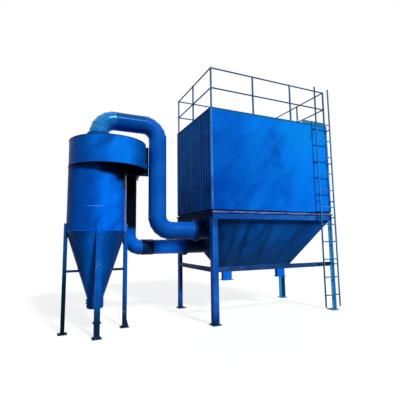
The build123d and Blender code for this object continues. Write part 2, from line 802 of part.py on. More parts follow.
# Discharge spouts: flat chutes under the floor, four plates each
with BuildPart() as discharge_spouts:
    chute_z = (spout_base_z + spout_flange_thickness, hopper_base_z - trough_plate)
    side_y = (house_y - back_clear + bar_gap, house_y + back_clear - bar_gap)
    for middle_x in spout_x:
        chute_x = (middle_x - chute, middle_x + chute)
        add(block(chute_x, (house_y - chute_back, house_y - back_clear), chute_z))
        add(block(chute_x, (house_y + back_clear, house_y + chute_back), chute_z))
        add(block((middle_x - chute, middle_x - chute_clear), side_y, chute_z))
        add(block((middle_x + chute_clear, middle_x + chute), side_y, chute_z))
discharge_spouts.part.label = "discharge_spouts"
export_step(discharge_spouts.part, "parts/discharge_spouts.step")

# Spout flanges: four bars under each chute, bolt holes at the corners
with BuildPart() as spout_flanges:
    rim_side = chute + spout_flange_reach
    rim_back = chute_back + spout_flange_reach
    bolt_span_x = 2 * chute + spout_flange_reach
    bolt_span_y = 2 * chute_back + spout_flange_reach
    rim_z = (spout_base_z, spout_base_z + spout_flange_thickness)
    for middle_x in spout_x:
        rim_x = (middle_x - rim_side, middle_x + rim_side)
        add(block(rim_x, (house_y - rim_back, house_y - back_clear), rim_z))
        add(block(rim_x, (house_y + back_clear, house_y + rim_back), rim_z))
        add(block((middle_x - rim_side, middle_x - chute_clear), side_y, rim_z))
        add(block((middle_x + chute_clear, middle_x + rim_side), side_y, rim_z))
        with Locations((middle_x, house_y, spout_base_z)):
            with GridLocations(bolt_span_x, bolt_span_y, 2, 2):
                Cylinder(spout_bolt_radius, 2 * overrun, mode=Mode.SUBTRACT)
spout_flanges.part.label = "spout_flanges"
export_step(spout_flanges.part, "parts/spout_flanges.step")

# House legs: heavy angles with the heel at the casing's corner, each on a drilled base plate
with BuildPart() as house_legs:
    for leg_x, leg_y, side_x, side_y in corner_places(leg_width / 2):
        with Locations((leg_x, leg_y, 0)):
            Box(leg_width, leg_width, leg_height, align=low)
        hollow_x = leg_x - side_x * leg_sheet
        hollow_y = leg_y - side_y * leg_sheet
        with Locations((hollow_x, hollow_y, 0)):
            Box(leg_width, leg_width, leg_height, align=low, mode=Mode.SUBTRACT)
        with Locations((leg_x, leg_y, 0)):
            Box(base_plate, base_plate, base_plate_thickness, align=low)
            with GridLocations(base_bolt_pitch, base_bolt_pitch, 2, 2):
                Cylinder(base_bolt_radius, 2 * overrun, mode=Mode.SUBTRACT)
house_legs.part.label = "house_legs"
export_step(house_legs.part, "parts/house_legs.step")

# Tie beams: light channels lapped inside the legs along the front and the left side
with BuildPart() as tie_beams:
    front_run, right_run, rear_run, left_run = side_runs(leg_sheet)
    for (start, along, length), trim in ((front_run, 0), (left_run, tie_flange + bar_gap)):
        add(channel(start + z_axis * tie_base_z, along, length - trim, tie_height, tie_flange, tie_sheet))
tie_beams.part.label = "tie_beams"
export_step(tie_beams.part, "parts/tie_beams.step")

# Guard rail: square posts on the roof's edge, with round rails cut between them
front_bay = (casing_width - 2 * rail_inset) / front_bays
side_bay = (casing_depth - 2 * rail_inset) / side_bays
post_x = [house_left + rail_inset + bay * front_bay for bay in range(front_bays + 1)]
post_y = [house_front + rail_inset + bay * side_bay for bay in range(side_bays + 1)]
edge_posts = [(x, y) for x in post_x for y in (post_y[0], post_y[-1])]
edge_posts += [(x, y) for x in (post_x[0], post_x[-1]) for y in post_y[1:-1]]
with BuildPart() as guard_posts:
    with Locations(*[(x, y, casing_top_z) for x, y in edge_posts]):
        Box(post_size, post_size, rail_height, align=low)
guard_posts.part.label = "guard_posts"
export_step(guard_posts.part, "parts/guard_posts.step")

with BuildPart() as guard_rails:
    top_rail_z = casing_top_z + rail_height - post_size / 2
    mid_rail_z = casing_top_z + mid_rail_height
    for rail_z in (mid_rail_z, top_rail_z):
        for rail_y in (post_y[0], post_y[-1]):
            for near, far in zip(post_x, post_x[1:]):
                rail_start = Vector(near + post_size / 2, rail_y, rail_z)
                add(rod(rail_start, x_axis, far - near - post_size, rail_radius))
        for rail_x in (post_x[0], post_x[-1]):
            for near, far in zip(post_y, post_y[1:]):
                rail_start = Vector(rail_x, near + post_size / 2, rail_z)
                add(rod(rail_start, y_axis, far - near - post_size, rail_radius))
guard_rails.part.label = "guard_rails"
export_step(guard_rails.part, "parts/guard_rails.step")

# Ladder: two stiles in front of the house, rungs between them and brackets back to the steelwork
ladder_x = house_right - ladder_end_gap
ladder_y = house_front - ladder_standoff
stile_x = (ladder_x - ladder_width / 2, ladder_x + ladder_width / 2)
ladder_top_z = casing_top_z + rail_height
with BuildPart() as ladder_stiles:
    with Locations(*[(x, ladder_y, ladder_base_z) for x in stile_x]):
        Box(stile_size, stile_size, ladder_top_z - ladder_base_z, align=low)
ladder_stiles.part.label = "ladder_stiles"
export_step(ladder_stiles.part, "parts/ladder_stiles.step")

with BuildPart() as ladder_rungs:
    for rung in range(rung_count):
        rung_start = Vector(stile_x[0] + stile_size / 2, ladder_y, first_rung_z + rung * rung_pitch)
        add(rod(rung_start, x_axis, ladder_width - stile_size, rung_radius))
ladder_rungs.part.label = "ladder_rungs"
export_step(ladder_rungs.part, "parts/ladder_rungs.step")

with BuildPart() as ladder_brackets:
    bracket_z = [leg_height + beam_height / 2]
    bracket_z += [casing_base_z + share * panel_height for share in bracket_shares]
    bracket_length = ladder_standoff - stile_size / 2
    places = [(x, house_front, z) for x in stile_x for z in bracket_z]
    with Locations(*places):
        Box(
            bracket_size,
            bracket_length,
            bracket_size,
            align=(Align.CENTER, Align.MAX, Align.CENTER),
        )
    tie_middle_z = tie_base_z + tie_height / 2
    with Locations((stile_x[0], house_front + leg_sheet, tie_middle_z)):
        Box(
            bracket_size,
            bracket_length + leg_sheet,
            bracket_size,
            align=(Align.CENTER, Align.MAX, Align.CENTER),
        )
    with Locations((stile_x[1], house_front, tie_middle_z)):
        Box(
            bracket_size,
            bracket_length,
            bracket_size,
            align=(Align.CENTER, Align.MAX, Align.CENTER),
        )
ladder_brackets.part.label = "ladder_brackets"
export_step(ladder_brackets.part, "parts/ladder_brackets.step")

# Clean gas outlet: a flanged stub through the rear sheet
with BuildPart() as clean_gas_outlet:
    stub_length = clean_outlet_length + panel_sheet
    add(pipe(clean_start, y_axis, stub_length, outlet_radius, duct_sheet))
    flange_start = Vector(clean_outlet_x, house_rear + clean_outlet_length, clean_outlet_z)
    add(pipe(flange_start, -y_axis, clean_flange_thickness, outlet_radius + flange_reach, flange_reach))
    with Locations(Plane(origin=flange_start, z_dir=-y_axis)):
        with PolarLocations(outlet_radius + flange_reach / 2, clean_bolt_count):
            Cylinder(clean_bolt_radius, 2 * overrun, mode=Mode.SUBTRACT)
clean_gas_outlet.part.label = "clean_gas_outlet"
export_step(clean_gas_outlet.part, "parts/clean_gas_outlet.step")
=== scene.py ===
# Cyclone separator with its bag filter house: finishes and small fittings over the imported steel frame.
# The sections follow the plant as it is put together, the filter house from its legs up, then the cyclone.
import math
import random

import bmesh
import bpy
from mathutils import Matrix, Vector


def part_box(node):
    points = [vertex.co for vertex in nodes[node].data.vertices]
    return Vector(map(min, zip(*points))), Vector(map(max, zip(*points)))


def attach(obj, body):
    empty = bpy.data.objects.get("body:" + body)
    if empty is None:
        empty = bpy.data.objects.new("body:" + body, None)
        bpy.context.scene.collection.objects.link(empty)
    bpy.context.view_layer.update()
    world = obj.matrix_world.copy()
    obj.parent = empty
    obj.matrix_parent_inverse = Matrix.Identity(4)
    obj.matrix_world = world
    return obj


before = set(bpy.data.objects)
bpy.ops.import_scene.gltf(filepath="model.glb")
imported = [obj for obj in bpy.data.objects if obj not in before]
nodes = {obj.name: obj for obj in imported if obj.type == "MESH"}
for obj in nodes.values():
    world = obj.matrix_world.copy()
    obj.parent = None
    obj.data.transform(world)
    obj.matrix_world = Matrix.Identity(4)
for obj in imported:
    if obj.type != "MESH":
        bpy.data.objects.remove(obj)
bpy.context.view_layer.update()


# House steelwork: four rolled steel angles on base plates, a channel ring on top and tie channels between.
# All of it is brushed with blue enamel, dull and chipped near the ground, the ties nearly black with dirt.
# The ring is bolted to the legs at each corner, and the legs are welded to their base plates.
def add_sockets(tree, in_out, sockets):
    for name, kind, default in sockets:
        socket = tree.interface.new_socket(name=name, in_out=in_out, socket_type=kind)
        if default is not None:
            socket.default_value = default


def feed(tree, socket, value):
    """Set a socket to a plain value, or link another socket to it."""
    if isinstance(value, bpy.types.NodeSocket):
        tree.links.new(value, socket)
    else:
        socket.default_value = value


def noise_node(tree, place, stretch, scale, detail, seed):
    mapping = tree.nodes.new("ShaderNodeMapping")
    feed(tree, mapping.inputs["Scale"], stretch)
    tree.links.new(place, mapping.inputs["Vector"])
    noise = tree.nodes.new("ShaderNodeTexNoise")
    noise.noise_dimensions = "4D"
    noise.inputs["Detail"].default_value = detail
    noise.inputs["Roughness"].default_value = 0.55
    tree.links.new(mapping.outputs["Vector"], noise.inputs["Vector"])
    feed(tree, noise.inputs["Scale"], scale)
    feed(tree, noise.inputs["W"], seed)
    return noise.outputs["Fac"]


def remap(tree, value, low, high):
    """A smooth step from 0 at the low value to 1 at the high one."""
    node = tree.nodes.new("ShaderNodeMapRange")
    node.interpolation_type = "SMOOTHSTEP"
    feed(tree, node.inputs["Value"], value)
    feed(tree, node.inputs["From Min"], low)
    feed(tree, node.inputs["From Max"], high)
    return node.outputs["Result"]


def reckon(tree, operation, first, second):
    node = tree.nodes.new("ShaderNodeMath")
    node.operation = operation
    feed(tree, node.inputs[0], first)
    feed(tree, node.inputs[1], second)
    return node.outputs["Value"]


def mixed(tree, share, first, second):
    node = tree.nodes.new("ShaderNodeMix")
    node.data_type = "RGBA"
    colour_inputs = [socket for socket in node.inputs if socket.type == "RGBA"]
    feed(tree, node.inputs["Factor"], share)
    feed(tree, colour_inputs[0], first)
    feed(tree, colour_inputs[1], second)
    return next(socket for socket in node.outputs if socket.type == "RGBA")


def weathered_enamel_group():
    """Cloudy fading, smudges, runs, slanting strokes, stain by height, chips, peel and buckling."""
    tree = bpy.data.node_groups.new("weathered_enamel", "ShaderNodeTree")
    add_sockets(tree, "INPUT", (
        ("Base", "NodeSocketColor", (0.001, 0.1, 0.6, 1.0)),
        ("Faded", "NodeSocketColor", (0.002, 0.2, 0.8, 1.0)),
        ("Grime", "NodeSocketColor", (0.003, 0.02, 0.09, 1.0)),
        ("Stain Colour", "NodeSocketColor", (0.002, 0.005, 0.014, 1.0)),
        ("Bare", "NodeSocketColor", (0.42, 0.55, 0.75, 1.0)),
        ("Seed", "NodeSocketFloat", 0.0),
        ("Cloud Scale", "NodeSocketFloat", 1.4),
        ("Fading", "NodeSocketFloat", 0.5),
        ("Smudges", "NodeSocketFloat", 0.0),
        ("Runs", "NodeSocketFloat", 0.2),
        ("Run Stretch", "NodeSocketVector", (11.0, 11.0, 0.5)),
        ("Strokes", "NodeSocketFloat", 0.0),
        ("Stroke Scale", "NodeSocketFloat", 1.6),
        ("Stain", "NodeSocketFloat", 0.0),
        ("Stain Low", "NodeSocketFloat", 0.0),
        ("Stain High", "NodeSocketFloat", 1.0),
        ("Chips", "NodeSocketFloat", 0.0),
        ("Dullness", "NodeSocketFloat", 0.3),
        ("Buckle", "NodeSocketFloat", 0.3),
    ))
    add_sockets(tree, "OUTPUT", (
        ("Colour", "NodeSocketColor", None),
        ("Roughness", "NodeSocketFloat", None),
        ("Height", "NodeSocketFloat", None),
    ))
    given = tree.nodes.new("NodeGroupInput").outputs
    result = tree.nodes.new("NodeGroupOutput").inputs
    place = tree.nodes.new("ShaderNodeTexCoord").outputs["Object"]
    even = (1.0, 1.0, 1.0)
    cloud = noise_node(tree, place, even, given["Cloud Scale"], 5.0, given["Seed"])
    cloud = remap(tree, cloud, 0.36, 0.68)
    blot_seed = reckon(tree, "ADD", given["Seed"], 7.3)
    blot_scale = reckon(tree, "MULTIPLY", given["Cloud Scale"], 0.9)
    blot = remap(tree, noise_node(tree, place, even, blot_scale, 3.0, blot_seed), 0.53, 0.74)
    runs = remap(tree, noise_node(tree, place, given["Run Stretch"], 1.0, 4.0, given["Seed"]), 0.46, 0.74)
    slant = tree.nodes.new("ShaderNodeMapping")
    slant.vector_type = "TEXTURE"
    slant.inputs["Rotation"].default_value = (0.0, -0.85, 0.0)
    slant.inputs["Scale"].default_value = (1.0, 1.0, 0.36)
    tree.links.new(place, slant.inputs["Vector"])
    stroke = noise_node(tree, slant.outputs["Vector"], even, given["Stroke Scale"], 1.2, given["Seed"])
    dark_stroke = remap(tree, stroke, 0.5, 0.7)
    pale_stroke = remap(tree, stroke, 0.5, 0.3)
    speck = remap(tree, noise_node(tree, place, even, 38.0, 4.0, given["Seed"]), 0.52, 0.75)
    waver = noise_node(tree, place, even, 4.5, 4.0, given["Seed"])
    parts = tree.nodes.new("ShaderNodeSeparateXYZ")
    tree.links.new(place, parts.inputs["Vector"])
    reach = reckon(tree, "SUBTRACT", given["Stain High"], given["Stain Low"])
    shaken = reckon(tree, "MULTIPLY", reckon(tree, "SUBTRACT", waver, 0.5), reach)
    height_in = reckon(tree, "ADD", parts.outputs["Z"], reckon(tree, "MULTIPLY", shaken, 0.7))
    stain = remap(tree, height_in, given["Stain High"], given["Stain Low"])
    flake = remap(tree, noise_node(tree, place, even, 34.0, 3.0, given["Seed"]), 0.62, 0.66)
    zone = remap(tree, noise_node(tree, place, even, 3.6, 2.0, blot_seed), 0.5, 0.58)
    chip = reckon(tree, "MULTIPLY", reckon(tree, "MULTIPLY", flake, zone), given["Chips"])
    layers = (
        (cloud, given["Fading"], "Faded"),
        (blot, given["Smudges"], "Grime"),
        (runs, given["Runs"], "Grime"),
        (dark_stroke, given["Strokes"], "Grime"),
        (pale_stroke, given["Strokes"], "Faded"),
        (speck, 0.1, "Grime"),
    )
    colour = given["Base"]
    for mask, strength, tint in layers:
        colour = mixed(tree, reckon(tree, "MULTIPLY", mask, strength), colour, given[tint])
    stained = reckon(tree, "MULTIPLY", stain, given["Stain"])
    colour = mixed(tree, stained, colour, given["Stain Colour"])
    colour = mixed(tree, chip, colour, given["Bare"])
    dull = given["Dullness"]
    for mask, share in ((cloud, 0.14), (stained, 0.3), (speck, 0.1)):
        dull = reckon(tree, "ADD", dull, reckon(tree, "MULTIPLY", mask, share))
    peel = noise_node(tree, place, even, 160.0, 2.0, given["Seed"])
    wave = noise_node(tree, place, even, 1.7, 2.0, given["Seed"])
    rise = reckon(tree, "MULTIPLY", wave, given["Buckle"])
    rise = reckon(tree, "ADD", reckon(tree, "MULTIPLY", peel, 0.02), rise)
    rise = reckon(tree, "SUBTRACT", rise, reckon(tree, "MULTIPLY", chip, 0.05))
    tree.links.new(colour, result["Colour"])
    tree.links.new(dull, result["Roughness"])
    tree.links.new(rise, result["Height"])
    return tree


weathered_enamel = weathered_enamel_group()


def enamel(name, base, faded, specular=0.1, **weather):
    """A coat of enamel with its own values for the shared weathering."""
    material = bpy.data.materials.new(name)
    material.use_nodes = True
    tree = material.node_tree
    shader = tree.nodes["Principled BSDF"]
    shader.inputs["Specular IOR Level"].default_value = specular
    shader.inputs["Specular Tint"].default_value = (0.15, 0.6, 1.0, 1.0)
    coat = tree.nodes.new("ShaderNodeGroup")
    coat.name = "coat"
    coat.node_tree = weathered_enamel
    coat.inputs["Base"].default_value = base + (1.0,)
    coat.inputs["Faded"].default_value = faded + (1.0,)
    for word, value in weather.items():
        socket = coat.inputs[word.replace("_", " ").title()]
        socket.default_value = value + (1.0,) if socket.type == "RGBA" else value
    bump = tree.nodes.new("ShaderNodeBump")
    bump.inputs["Strength"].default_value = 0.6
    bump.inputs["Distance"].default_value = 0.02
    tree.links.new(coat.outputs["Height"], bump.inputs["Height"])
    tree.links.new(coat.outputs["Colour"], shader.inputs["Base Color"])
    tree.links.new(coat.outputs["Roughness"], shader.inputs["Roughness"])
    tree.links.new(bump.outputs["Normal"], shader.inputs["Normal"])
    return material


def light_and_wear_patch_group():
    """A soft-edged patch that grows from bare to full along X and along Z, with a wavering border."""
    tree = bpy.data.node_groups.new("light_and_wear_patch", "ShaderNodeTree")
    add_sockets(tree, "INPUT", (
        ("X Bare", "NodeSocketFloat", 0.0),
        ("X Full", "NodeSocketFloat", 1.0),
        ("Z Bare", "NodeSocketFloat", 0.0),
        ("Z Full", "NodeSocketFloat", 1.0),
        ("Strength", "NodeSocketFloat", 1.0),
    ))
    add_sockets(tree, "OUTPUT", (("Mask", "NodeSocketFloat", None),))
    given = tree.nodes.new("NodeGroupInput").outputs
    result = tree.nodes.new("NodeGroupOutput").inputs
    place = tree.nodes.new("ShaderNodeTexCoord").outputs["Object"]
    parts = tree.nodes.new("ShaderNodeSeparateXYZ")
    tree.links.new(place, parts.inputs["Vector"])
    waver = reckon(tree, "SUBTRACT", noise_node(tree, place, (1.0, 1.0, 1.0), 3.0, 4.0, 0.0), 0.5)
    masks = []
    for letter in "XZ":
        reach = reckon(tree, "SUBTRACT", given[letter + " Full"], given[letter + " Bare"])
        shaken = reckon(tree, "ADD", parts.outputs[letter], reckon(tree, "MULTIPLY", waver, reach))
        masks.append(remap(tree, shaken, given[letter + " Bare"], given[letter + " Full"]))
    mask = reckon(tree, "MULTIPLY", masks[0], masks[1])
    tree.links.new(reckon(tree, "MULTIPLY", mask, given["Strength"]), result["Mask"])
    return tree


light_and_wear_patch = light_and_wear_patch_group()
EVERYWHERE = (-9.0, -8.0)


# Many of these patches paint shade or highlights into a coat; others change its tone.
def add_patch(material, colour, strength, along_x=EVERYWHERE, along_z=EVERYWHERE):
    """Change a coat's colour over part of the plant, from bare to full along X and Z."""
    tree = material.node_tree
    shader = tree.nodes["Principled BSDF"]
    patch = tree.nodes.new("ShaderNodeGroup")
    patch.node_tree = light_and_wear_patch
    patch.inputs["X Bare"].default_value, patch.inputs["X Full"].default_value = along_x
    patch.inputs["Z Bare"].default_value, patch.inputs["Z Full"].default_value = along_z
    patch.inputs["Strength"].default_value = strength
    under = shader.inputs["Base Color"].links[0].from_socket
    tree.links.new(mixed(tree, patch.outputs["Mask"], under, colour + (1.0,)), shader.inputs["Base Color"])


def dress(material, *names):
    """Give CAD nodes a finish."""
    for name in names:
        for material_slot in nodes[name].material_slots:
            material_slot.material = material


def put_in_scene(name, data):
    """A new object for this data, linked to the scene."""
    thing = bpy.data.objects.new(name, data)
    bpy.context.scene.collection.objects.link(thing)
    return thing


def settle(name, mesh, material, smooth=False):
    """Turn a finished bmesh into a piece that rides on the plant."""
    bmesh.ops.recalc_face_normals(mesh, faces=mesh.faces)
    for face in mesh.faces:
        face.smooth = smooth
    data = bpy.data.meshes.new(name)
    mesh.to_mesh(data)
    mesh.free()
    data.materials.append(material)
    piece = put_in_scene(name, data)
    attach(piece, "root")


def facing(place, direction):
    """A frame at a place whose Z looks along a direction."""
    turn = Vector(direction).to_track_quat("Z", "Y").to_matrix().to_4x4()
    return Matrix.Translation(place) @ turn


def hex_bolt(mesh, seat, across):
    """A chamfered hex head on a round washer, standing on its seat."""
    washer = 0.12 * across
    head = 0.55 * across
    rows = (
        (12, 0.66, 0.66, 0.0, washer),
        (6, 0.577, 0.577, washer, washer + 0.8 * head),
        (6, 0.577, 0.47, washer + 0.8 * head, washer + head),
    )
    for sides, low_share, high_share, low, high in rows:
        bmesh.ops.create_cone(
            mesh, cap_ends=True, segments=sides, radius1=low_share * across, radius2=high_share * across,
            depth=high - low, matrix=seat @ Matrix.Translation((0.0, 0.0, (low + high) / 2)),
        )


def round_bar(mesh, seat, radius, length, sides=10):
    """A round bar centred on its seat, along the seat's Z."""
    bmesh.ops.create_cone(
        mesh, cap_ends=True, segments=sides, radius1=radius, radius2=radius, depth=length, matrix=seat,
    )


def bead_line(mesh, start, end, size):
    """A straight weld bead along a seam."""
    run = Vector(end) - Vector(start)
    round_bar(mesh, facing((Vector(start) + Vector(end)) / 2, run), size, run.length, sides=8)


def upright_corners(low, high):
    """The four upright corners of a box, each with its ways in along X and Y."""
    for x, x_way in ((low[0], 1.0), (high[0], -1.0)):
        for y, y_way in ((low[1], 1.0), (high[1], -1.0)):
            yield x, x_way, y, y_way


leg_enamel = enamel(
    "leg_enamel", (0.003, 0.08, 0.42), (0.014, 0.15, 0.56), seed=3.0, cloud_scale=3.0, fading=0.6,
    runs=0.3, smudges=0.5, stain=0.75, stain_low=0.02, stain_high=0.35, chips=0.25, dullness=0.4,
    buckle=0.1,
)
add_patch(leg_enamel, (0.03, 0.26, 0.56), 0.8, along_x=(2.4, 2.6))
beam_enamel = enamel(
    "beam_enamel", (0.006, 0.09, 0.42), (0.025, 0.24, 0.58), specular=0.02, seed=5.0, cloud_scale=2.4,
    fading=0.7, runs=0.3, smudges=0.5, chips=0.2, dullness=0.5, buckle=0.1,
)
add_patch(beam_enamel, (0.003, 0.05, 0.3), 0.7, along_x=(1.3, 0.3))
# Painted shade: near black for the parts at the hopper's left side under the casing, here the ring beam's
# left end.
HOPPER_SIDE_SHADE = (0.001, 0.008, 0.035)
add_patch(beam_enamel, HOPPER_SIDE_SHADE, 0.95, along_x=(-0.205, -0.222))
tie_enamel = enamel(
    "tie_enamel", (0.008, 0.036, 0.135), (0.03, 0.09, 0.28), seed=8.0, cloud_scale=3.5, fading=0.6,
    runs=0.4, chips=0.15, dullness=0.5, buckle=0.1,
)
dress(leg_enamel, "house_legs")
dress(beam_enamel, "ring_beam")
dress(tie_enamel, "tie_beams")

fastener_enamel = enamel(
    "fastener_enamel", (0.006, 0.06, 0.28), (0.06, 0.14, 0.34), seed=2.0, cloud_scale=14.0, fading=0.6,
    runs=0.0, chips=0.6, dullness=0.4, buckle=0.0,
)
LEG_WIDTH = 0.115
BEAM_BOLT = 0.019
BEAM_BOLT_ROWS = (1.962, 2.013)
BEAM_BOLT_SHARES = (0.25, 0.75)
beam_low, beam_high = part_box("ring_beam")
beam_bolts = bmesh.new()
for x, x_way, y, y_way in upright_corners(beam_low, beam_high):
    for z in BEAM_BOLT_ROWS:
        for share in BEAM_BOLT_SHARES:
            front_spot = (x + x_way * LEG_WIDTH * share, y, z)
            side_spot = (x, y + y_way * LEG_WIDTH * share, z)
            hex_bolt(beam_bolts, facing(front_spot, (0.0, -y_way, 0.0)), BEAM_BOLT)
            hex_bolt(beam_bolts, facing(side_spot, (-x_way, 0.0, 0.0)), BEAM_BOLT)
settle("ring_beam_bolts", beam_bolts, fastener_enamel)

LEG_BEAD = 0.006
BASE_TOP = 0.016
leg_welds = bmesh.new()
for x, x_way, y, y_way in upright_corners(beam_low, beam_high):
    for z, bead in ((BASE_TOP, LEG_BEAD), (beam_low[2], LEG_BEAD / 2)):
        corner = Vector((x, y, z))
        bead_line(leg_welds, corner, corner + Vector((x_way * LEG_WIDTH, 0.0, 0.0)), bead)
        bead_line(leg_welds, corner, corner + Vector((0.0, y_way * LEG_WIDTH, 0.0)), bead)
settle("house_leg_welds", leg_welds, leg_enamel, smooth=True)

# Hopper: a wedge of welded plate under the ring, streaked by rain and grey with dust towards its mouth.
# Two flat discharge spouts hang below it, each with a drilled flange, painted bright when renewed.
# Its four hips and the mouth plate are welded from outside, and the beads are painted over.
hopper_enamel = enamel(
    "hopper_enamel", (0.003, 0.125, 0.6), (0.01, 0.22, 0.78), specular=0.05, seed=11.0, cloud_scale=1.6,
    runs=0.85, run_stretch=(3.4, 0.3, 0.25), smudges=0.6, strokes=0.3, stain=0.6, stain_low=0.95,
    stain_high=1.6, stain_colour=(0.017, 0.05, 0.12), dullness=0.45, buckle=0.4,
)
# Painted shade: the hopper's left wall and the left end of its front go near black.
add_patch(hopper_enamel, (0.001, 0.012, 0.05), 0.92, along_x=(0.45, -0.1))
spout_enamel = enamel(
    "spout_enamel", (0.001, 0.125, 0.68), (0.003, 0.2, 0.82), seed=12.0, cloud_scale=4.0, dullness=0.35,
    buckle=0.1,
)
spout_flange_enamel = enamel(
    "spout_flange_enamel", (0.002, 0.09, 0.48), (0.02, 0.15, 0.55), seed=13.0, cloud_scale=9.0, chips=0.4,
    dullness=0.45, buckle=0.0,
)
dress(hopper_enamel, "hopper", "hopper_floor")
dress(spout_enamel, "discharge_spouts")
dress(spout_flange_enamel, "spout_flanges")

HIP_BEAD = 0.005
FLOOR_REACH = 0.022
hopper_low, hopper_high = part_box("hopper")
mouth_low, mouth_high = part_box("hopper_floor")
hopper_welds = bmesh.new()
hip_feet = upright_corners(mouth_low, mouth_high)
for (side, x_way, end, y_way), (x, _, y, _) in zip(upright_corners(hopper_low, hopper_high), hip_feet):
    foot = (x + x_way * FLOOR_REACH, y + y_way * FLOOR_REACH, mouth_high[2])
    bead_line(hopper_welds, (side, end, beam_low[2]), foot, HIP_BEAD)
for y in (mouth_low[1] + FLOOR_REACH, mouth_high[1] - FLOOR_REACH):
    start = (mouth_low[0] + FLOOR_REACH, y, mouth_high[2])
    end = (mouth_high[0] - FLOOR_REACH, y, mouth_high[2])
    bead_line(hopper_welds, start, end, HIP_BEAD)
settle("hopper_welds", hopper_welds, hopper_enamel, smooth=True)

# Base flange: the folded lip that carries the casing on the ring, in pale primer along its front edge.
# A ragged bead of mastic, squeezed out when the casing was set down, runs along the lip all the way round.
# Painted shade: the sill above the lip's top is dark as the shadow under the casing's edge, and the lip's
# left end is near black.
lip_enamel = enamel(
    "lip_enamel", (0.035, 0.07, 0.3), (0.2, 0.24, 0.56), specular=0.02, seed=15.0, cloud_scale=3.0,
    fading=0.9, smudges=0.6, stain=1.0, stain_low=2.084, stain_high=2.077, chips=0.3, dullness=0.5,
    buckle=0.0,
)
add_patch(lip_enamel, (0.001, 0.006, 0.03), 0.97, along_x=(-0.215, -0.24))
dress(lip_enamel, "base_flange")

mastic = enamel(
    "mastic", (0.3, 0.3, 0.5), (0.55, 0.55, 0.72), specular=0.02, seed=16.0, cloud_scale=7.0, fading=0.9,
    runs=0.3, smudges=0.6, dullness=0.6, buckle=0.0,
)
# Painted shade: the mastic goes near black along the left side.
add_patch(mastic, (0.002, 0.006, 0.02), 0.97, along_x=(-0.2, -0.23))
MASTIC_STEP = 0.03
MASTIC_SIZE = 0.005
MASTIC_SWELL = (0.5, 1.7)
MASTIC_INSET = 0.016
LIP_TOP = 2.075
lip_low, lip_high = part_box("base_flange")
hand = random.Random(7)


def edges_of(verts):
    """The edges at some vertices, each once."""
    return list(dict.fromkeys(edge for vert in verts for edge in vert.link_edges))


def squeeze_out(mesh, start, end):
    """A bead of mastic of uneven thickness, pressed out along a joint."""
    run = Vector(end) - Vector(start)
    step_count = round(run.length / MASTIC_STEP)
    seat = facing(start, run)
    ring = bmesh.ops.create_circle(mesh, segments=6, radius=MASTIC_SIZE, matrix=seat)["verts"]
    edges = edges_of(ring)
    centre = Vector(start)
    size = 1.0
    for _ in range(step_count):
        grown = bmesh.ops.extrude_edge_only(mesh, edges=edges)["geom"]
        ring = [item for item in grown if isinstance(item, bmesh.types.BMVert)]
        edges = [item for item in grown if isinstance(item, bmesh.types.BMEdge)]
        centre = centre + run / step_count
        new_size = hand.uniform(*MASTIC_SWELL)
        bmesh.ops.translate(mesh, vec=run / step_count, verts=ring)
        swell = Matrix.Diagonal((new_size / size,) * 3).to_4x4()
        bmesh.ops.transform(mesh, matrix=swell, space=Matrix.Translation(-centre), verts=ring)
        size = new_size


near = (lip_low[0] + MASTIC_INSET, lip_low[1] + MASTIC_INSET)
far = (lip_high[0] - MASTIC_INSET, lip_high[1] - MASTIC_INSET)
mastic_turns = [Vector((x, y, LIP_TOP)) for x, y in (near, (far[0], near[1]), far, (near[0], far[1]))]
mastic_bead = bmesh.new()
for start, end in zip(mastic_turns, mastic_turns[1:] + mastic_turns[:1]):
    squeeze_out(mastic_bead, start, end)
settle("mastic_bead", mastic_bead, mastic, smooth=True)

# Casing: plain front and rear plates and ribbed side sheets of mild steel, sprayed in blue enamel.
# The front is clouded and lighter towards the top right, partly with a painted highlight; the ribbed sides
# are darker towards their foot.
# Folded corner strips cover the four upright edges, and screws hold the ribbed sheets along three rails.
front_enamel = enamel(
    "front_enamel", (0.0006, 0.09, 0.55), (0.0008, 0.23, 0.88), specular=0.04, seed=72.2, cloud_scale=1.7,
    fading=0.35, runs=0.1, smudges=0.7, grime=(0.0005, 0.045, 0.3), strokes=0.3, stroke_scale=1.2,
    dullness=0.34, buckle=0.5,
)
TONE_ALONG = 0.29
TONE_UP = 0.2
LOWER_LEFT_TONE = (0.0006, 0.072, 0.48, 1.0)
UPPER_RIGHT_TONE = (0.0008, 0.21, 0.84, 1.0)
front_tree = front_enamel.node_tree
front_place = front_tree.nodes.new("ShaderNodeSeparateXYZ")
front_coordinates = front_tree.nodes.new("ShaderNodeTexCoord").outputs["Object"]
front_tree.links.new(front_coordinates, front_place.inputs["Vector"])
tone_share = reckon(front_tree, "MULTIPLY", front_place.outputs["X"], TONE_ALONG)
tone_share_up = reckon(front_tree, "MULTIPLY", front_place.outputs["Z"], TONE_UP)
tone_share = remap(front_tree, reckon(front_tree, "ADD", tone_share, tone_share_up), 0.42, 1.5)
front_tone = mixed(front_tree, tone_share, LOWER_LEFT_TONE, UPPER_RIGHT_TONE)
front_tree.links.new(front_tone, front_tree.nodes["coat"].inputs["Base"])
add_patch(front_enamel, (0.0005, 0.05, 0.33), 0.3, along_x=(1.2, 0.3), along_z=(3.8, 3.4))
